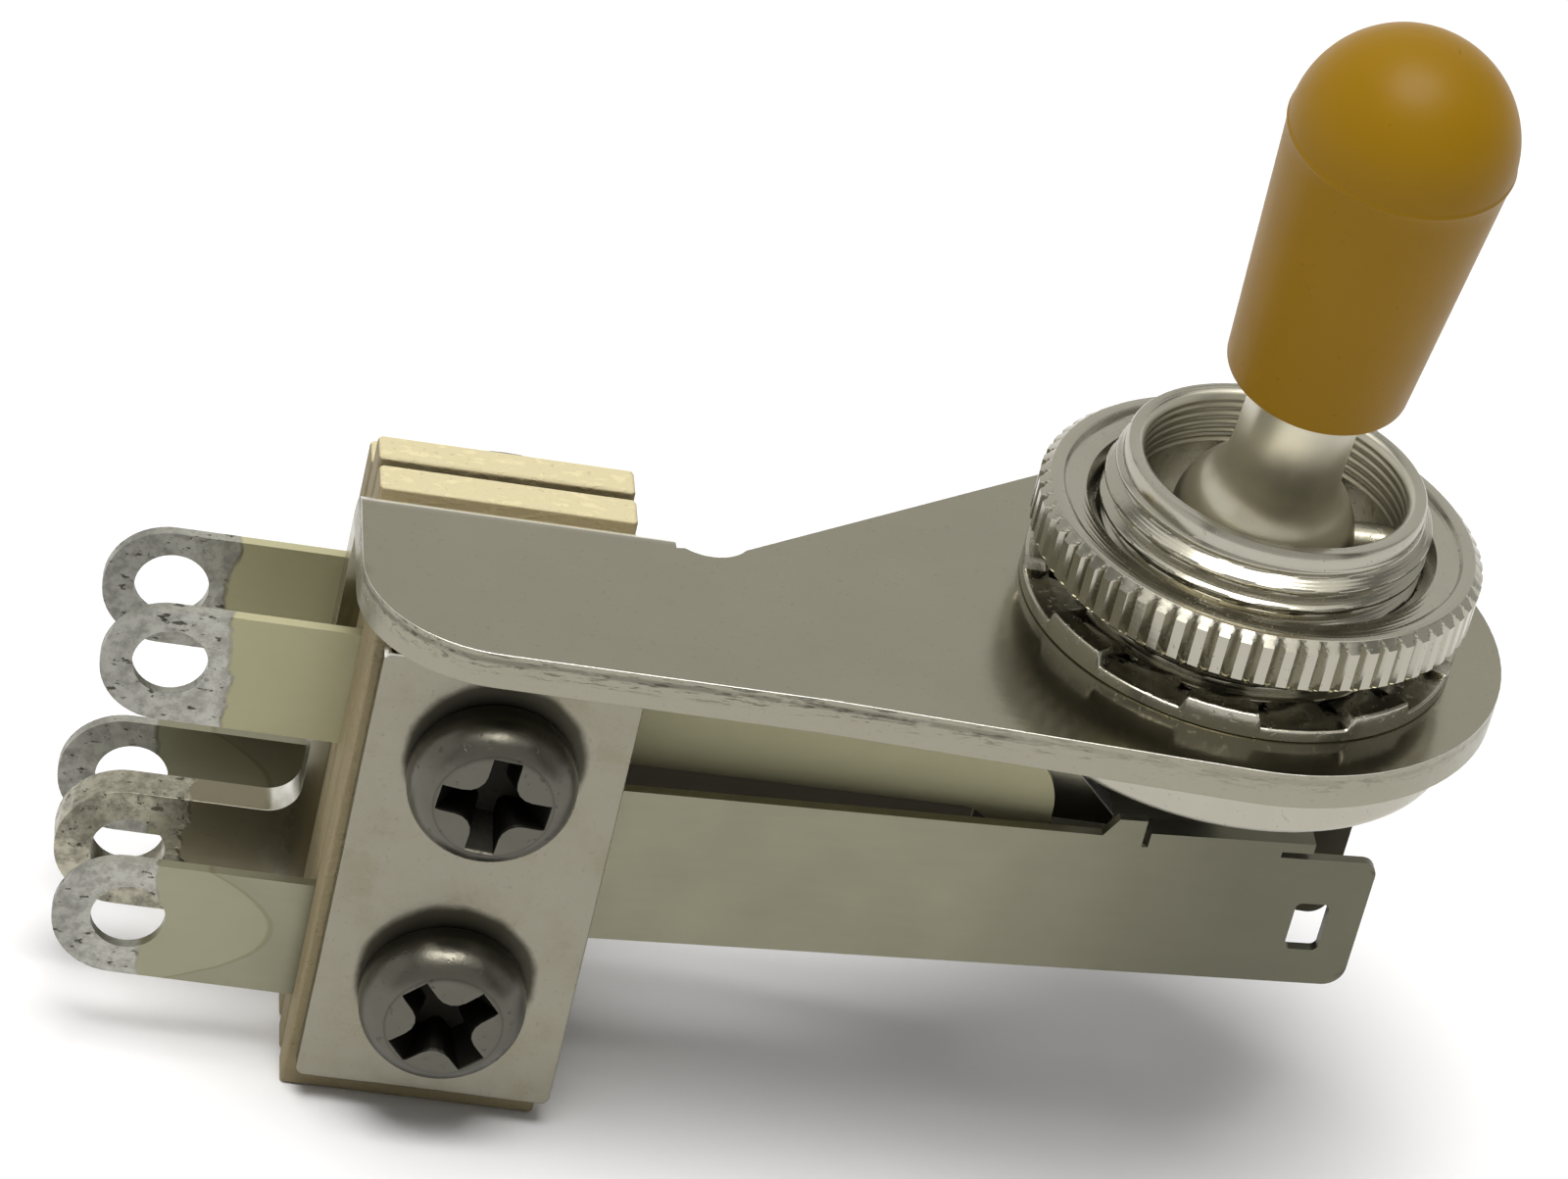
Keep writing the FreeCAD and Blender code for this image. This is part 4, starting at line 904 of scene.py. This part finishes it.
class BuildClamps(PieceOperator, bpy.types.Operator):
    """Clamp plate and tapped plate that hold the stack"""

    bl_idname = "switch.build_clamps"
    bl_label = "Clamp plates"

    def execute(self, context):
        metal = sheet_nickel("clamp_sheet", scaled(self.colours.nickel, 0.78), screwed=True)
        for node, name in (("clamp_plate", "near_clamp"), ("tapped_plate", "far_clamp")):
            mesh = softened(node, 0.09, 2)
            if name == "far_clamp":
                top = max(corner.co.z for corner in mesh.vertices)
                for corner in mesh.vertices:
                    near = max(0.0, 1 - (top - corner.co.z) / (TAPPED_DROP_REACH * MM))
                    corner.co.z -= TAPPED_DROP * MM * near
            new_piece(name, mesh, metal, "switch_body", [node])
        return {"FINISHED"}


def cross_cutter(turn, depth):
    """A cross with rounded inner corners that tapers towards its bottom, which is below z = 0."""
    rings = []
    # Reach, half width, rounding and height of each level
    levels = ((2.2, 0.62, 0.85, 0.4), (2.02, 0.53, 0.72, 0.0), (1.15, 0.34, 0.3, -depth))
    for reach, half, round_in, z in levels:
        ring = []
        for quarter in range(4):
            spin = math.radians(turn + 90 * quarter)
            outline = [(reach, -half), (reach, half)]
            centre = half + round_in
            for swing in np.radians(np.linspace(270, 180, 5)):
                u = centre + round_in * math.cos(swing)
                v = centre + round_in * math.sin(swing)
                outline.append((u, v))
            for u, v in outline:
                across = u * math.cos(spin) - v * math.sin(spin)
                ring.append((across, u * math.sin(spin) + v * math.cos(spin), z))
        rings.append(ring)
    count = len(rings[0])
    points = [point for ring in rings for point in ring]
    points += [(0, 0, levels[0][3]), (0, 0, -depth)]
    faces = []
    for k in range(count):
        m = (k + 1) % count
        faces.append((3 * count, k, m))
        faces.append((3 * count + 1, 2 * count + m, 2 * count + k))
        for i in range(2):
            faces.append((i * count + k, (i + 1) * count + k, (i + 1) * count + m, i * count + m))
    mesh = bpy.data.meshes.new("cross_cutter")
    mesh.from_pydata([(x * MM, y * MM, z * MM) for x, y, z in points], [], faces)
    with edited(mesh) as work:
        bmesh.ops.recalc_face_normals(work, faces=work.faces)
    return mesh


class BuildScrews(PieceOperator, bpy.types.Operator):
    """Pan-head screws with a cross recess, and the insulating tubes round them"""

    bl_idname = "switch.build_screws"
    bl_label = "Screws and tubes"

    def execute(self, context):
        steel = screw_finish("screw_steel_finish", tuple(self.colours.steel))
        depth = self.sizes.recess_depth / MM
        parts = []
        for drop, turn in zip(SCREW_DROPS, SCREW_TURNS):
            profile = [(0.0, SCREW_END), (1.2, SCREW_END), (SCREW_SHANK, -15.5)]
            profile += [(SCREW_SHANK, -SCREW_HEAD), (2.9, -SCREW_HEAD)]
            profile += [(2.98, -2.0), (3.0, -1.85), (3.0, -1.45)]
            profile += arc((1.55, -1.45), 1.45, 0, 76, 12)
            profile += [(1.6, -0.03), (0.8, -0.005), (0.0, 0.0)]
            solid = grid_mesh("screw_turned", turn_profile(profile, 72), 40, closed=False)
            shaped = cut(solid, cross_cutter(turn, depth))
            facing = Matrix.Rotation(math.radians(90), 4, "X")
            place = Vector((SCREW_X, CLAMP_FACE - SCREW_HEAD, drop + PLATE_TOP)) * MM
            top = Matrix.Translation(place)
            shaped.transform(top @ facing)
            parts.append(shaped)
        work = bmesh.new()
        for mesh in parts:
            work.from_mesh(mesh)
        both = bpy.data.meshes.new("screws_turned")
        work.to_mesh(both)
        work.free()
        smooth(both, 38)
        new_piece(
            "clamp_screws", both, steel, "switch_body", ["stack_screws"]
        )
        tube = moulded("tube_moulding", (0.5, 0.42, 0.26), 0.5)
        new_piece(
            "screw_sleeves", softened("screw_tubes", 0.05, 1), tube, "switch_body",
            ["screw_tubes"],
        )
        return {"FINISHED"}


def add_panel(name, place, target, size, brightness, lights_matt):
    """A soft light panel, in metres, as bright as that to look at."""
    data = bpy.data.lights.new(name, "AREA")
    data.shape = "RECTANGLE"
    data.size, data.size_y = size
    data.energy = brightness * math.pi * size[0] * size[1]
    data.color = WARM
    holder = placed(name, data)
    holder.visible_camera = False
    holder.visible_diffuse = lights_matt
    start = Vector(place)
    aim = (Vector(target) - start).to_track_quat("-Z", "Y").to_matrix().to_4x4()
    holder.matrix_world = Matrix.Translation(start) @ aim


def add_floor():
    """Pale paper under the switch, which glows far out so that no horizon shows."""
    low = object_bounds()[0][2]
    mesh = bpy.data.meshes.new("pale_floor")
    signs = ((-1, -1), (1, -1), (1, 1), (-1, 1))
    corners = [(FLOOR_REACH * x, FLOOR_REACH * y, low) for x, y in signs]
    mesh.from_pydata(corners, [], [(0, 1, 2, 3)])
    floor = placed("pale_floor", mesh)
    n = Nodes("floor_paper")
    tone = n.mix(n.noise(60, 2), (0.92, 0.92, 0.95), (0.89, 0.89, 0.93))
    away = (n.x * n.x + n.y * n.y).root().above(FLOOR_GLOW_START, FLOOR_GLOW_WIDTH)
    glow = n.mix(away, (0, 0, 0), (1, 1, 1))
    material = n.finish(tone, 0.7, 0.0, n.noise(0.8, 3), 0.01, {"Emission Strength": 1.0})
    n.tree.links.new(glow.socket, n.shader.inputs["Emission Color"])
    mesh.materials.append(material)
    floor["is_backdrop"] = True


def add_room(scene):
    """A plain room whose strength differs for matt surfaces, glossy surfaces and the camera."""
    world = bpy.data.worlds.new("studio")
    scene.world = world
    world.use_nodes = True
    room = world.node_tree
    background = room.nodes["Background"]
    background.inputs[0].default_value = (*WARM, 1)
    seen = room.nodes.new("ShaderNodeLightPath")
    glossy = room.nodes.new("ShaderNodeMapRange")
    direct = room.nodes.new("ShaderNodeMapRange")
    for step, ray, level in (
        (glossy, "Is Glossy Ray", ROOM_GLOSS),
        (direct, "Is Camera Ray", BACKDROP),
    ):
        room.links.new(seen.outputs[ray], step.inputs["Value"])
        step.inputs["To Max"].default_value = level
    glossy.inputs["To Min"].default_value = ROOM_GLOW
    room.links.new(glossy.outputs[0], direct.inputs["To Min"])
    room.links.new(direct.outputs[0], background.inputs[1])


def add_camera(scene):
    """The camera at the photograph's viewing angle."""
    turns = (CAMERA_AZIMUTH, CAMERA_ELEVATION, CAMERA_ROLL)
    azimuth, elevation, roll = (math.radians(turn) for turn in turns)
    forward = Vector((
        math.sin(azimuth) * math.cos(elevation),
        math.cos(azimuth) * math.cos(elevation),
        -math.sin(elevation),
    ))
    right = Vector((math.cos(azimuth), -math.sin(azimuth), 0))
    down = forward.cross(right)
    across = right * math.cos(roll) + down * math.sin(roll)
    under = down * math.cos(roll) - right * math.sin(roll)
    data = bpy.data.cameras.new("photo_view")
    data.sensor_fit = "HORIZONTAL"
    data.sensor_width = 36
    data.lens = CAMERA_LENS
    data.clip_start = 0.01
    data.clip_end = 10
    camera = placed("photo_view", data)
    aim = Matrix((across, -under, -forward)).transposed().to_4x4()
    x, y, z = CAMERA_PLACE
    camera.matrix_world = Matrix.Translation(Vector((x, y, z + PLATE_TOP)) * MM) @ aim
    scene.camera = camera


class BuildStage(PieceOperator, bpy.types.Operator):
    """Pale floor, soft lights and the camera"""

    bl_idname = "switch.build_stage"
    bl_label = "Stage, lights and camera"

    def execute(self, context):
        scene = bpy.context.scene
        add_floor()
        add_room(scene)
        for settings in PANELS:
            add_panel(*settings)
        add_camera(scene)
        scene.view_settings.view_transform = "Standard"
        scene.view_settings.look = "None"
        scene.view_settings.exposure = 0.0
        return {"FINISHED"}


class SwitchPanel(bpy.types.Panel):
    """Lists the switch's pieces and settings"""

    bl_idname = "VIEW3D_PT_toggle_switch"
    bl_label = "Toggle switch"
    bl_space_type = "VIEW_3D"
    bl_region_type = "UI"
    bl_category = "Toggle switch"

    def draw(self, context):
        for step in STEPS:
            self.layout.operator(step.bl_idname)
        for group in (context.scene.switch_sizes, context.scene.switch_colours):
            for name in group.__annotations__:
                self.layout.prop(group, name)


STEPS = (
    BuildFrame, BuildBushing, BuildNut, BuildWasher, BuildLever, BuildTip, BuildLeaves,
    BuildInsulators, BuildClamps, BuildScrews, BuildStage,
)
CLASSES = (SwitchSizes, SwitchColours, *STEPS, SwitchPanel)


def register():
    for item in CLASSES:
        bpy.utils.register_class(item)
    bpy.types.Scene.switch_sizes = bpy.props.PointerProperty(type=SwitchSizes)
    bpy.types.Scene.switch_colours = bpy.props.PointerProperty(type=SwitchColours)


def unregister():
    del bpy.types.Scene.switch_colours
    del bpy.types.Scene.switch_sizes
    for item in reversed(CLASSES):
        bpy.utils.unregister_class(item)


def main():
    register()
    for step in STEPS:
        group, name = step.bl_idname.split(".")
        getattr(getattr(bpy.ops, group), name)()


if __name__ == "__main__":
    main()
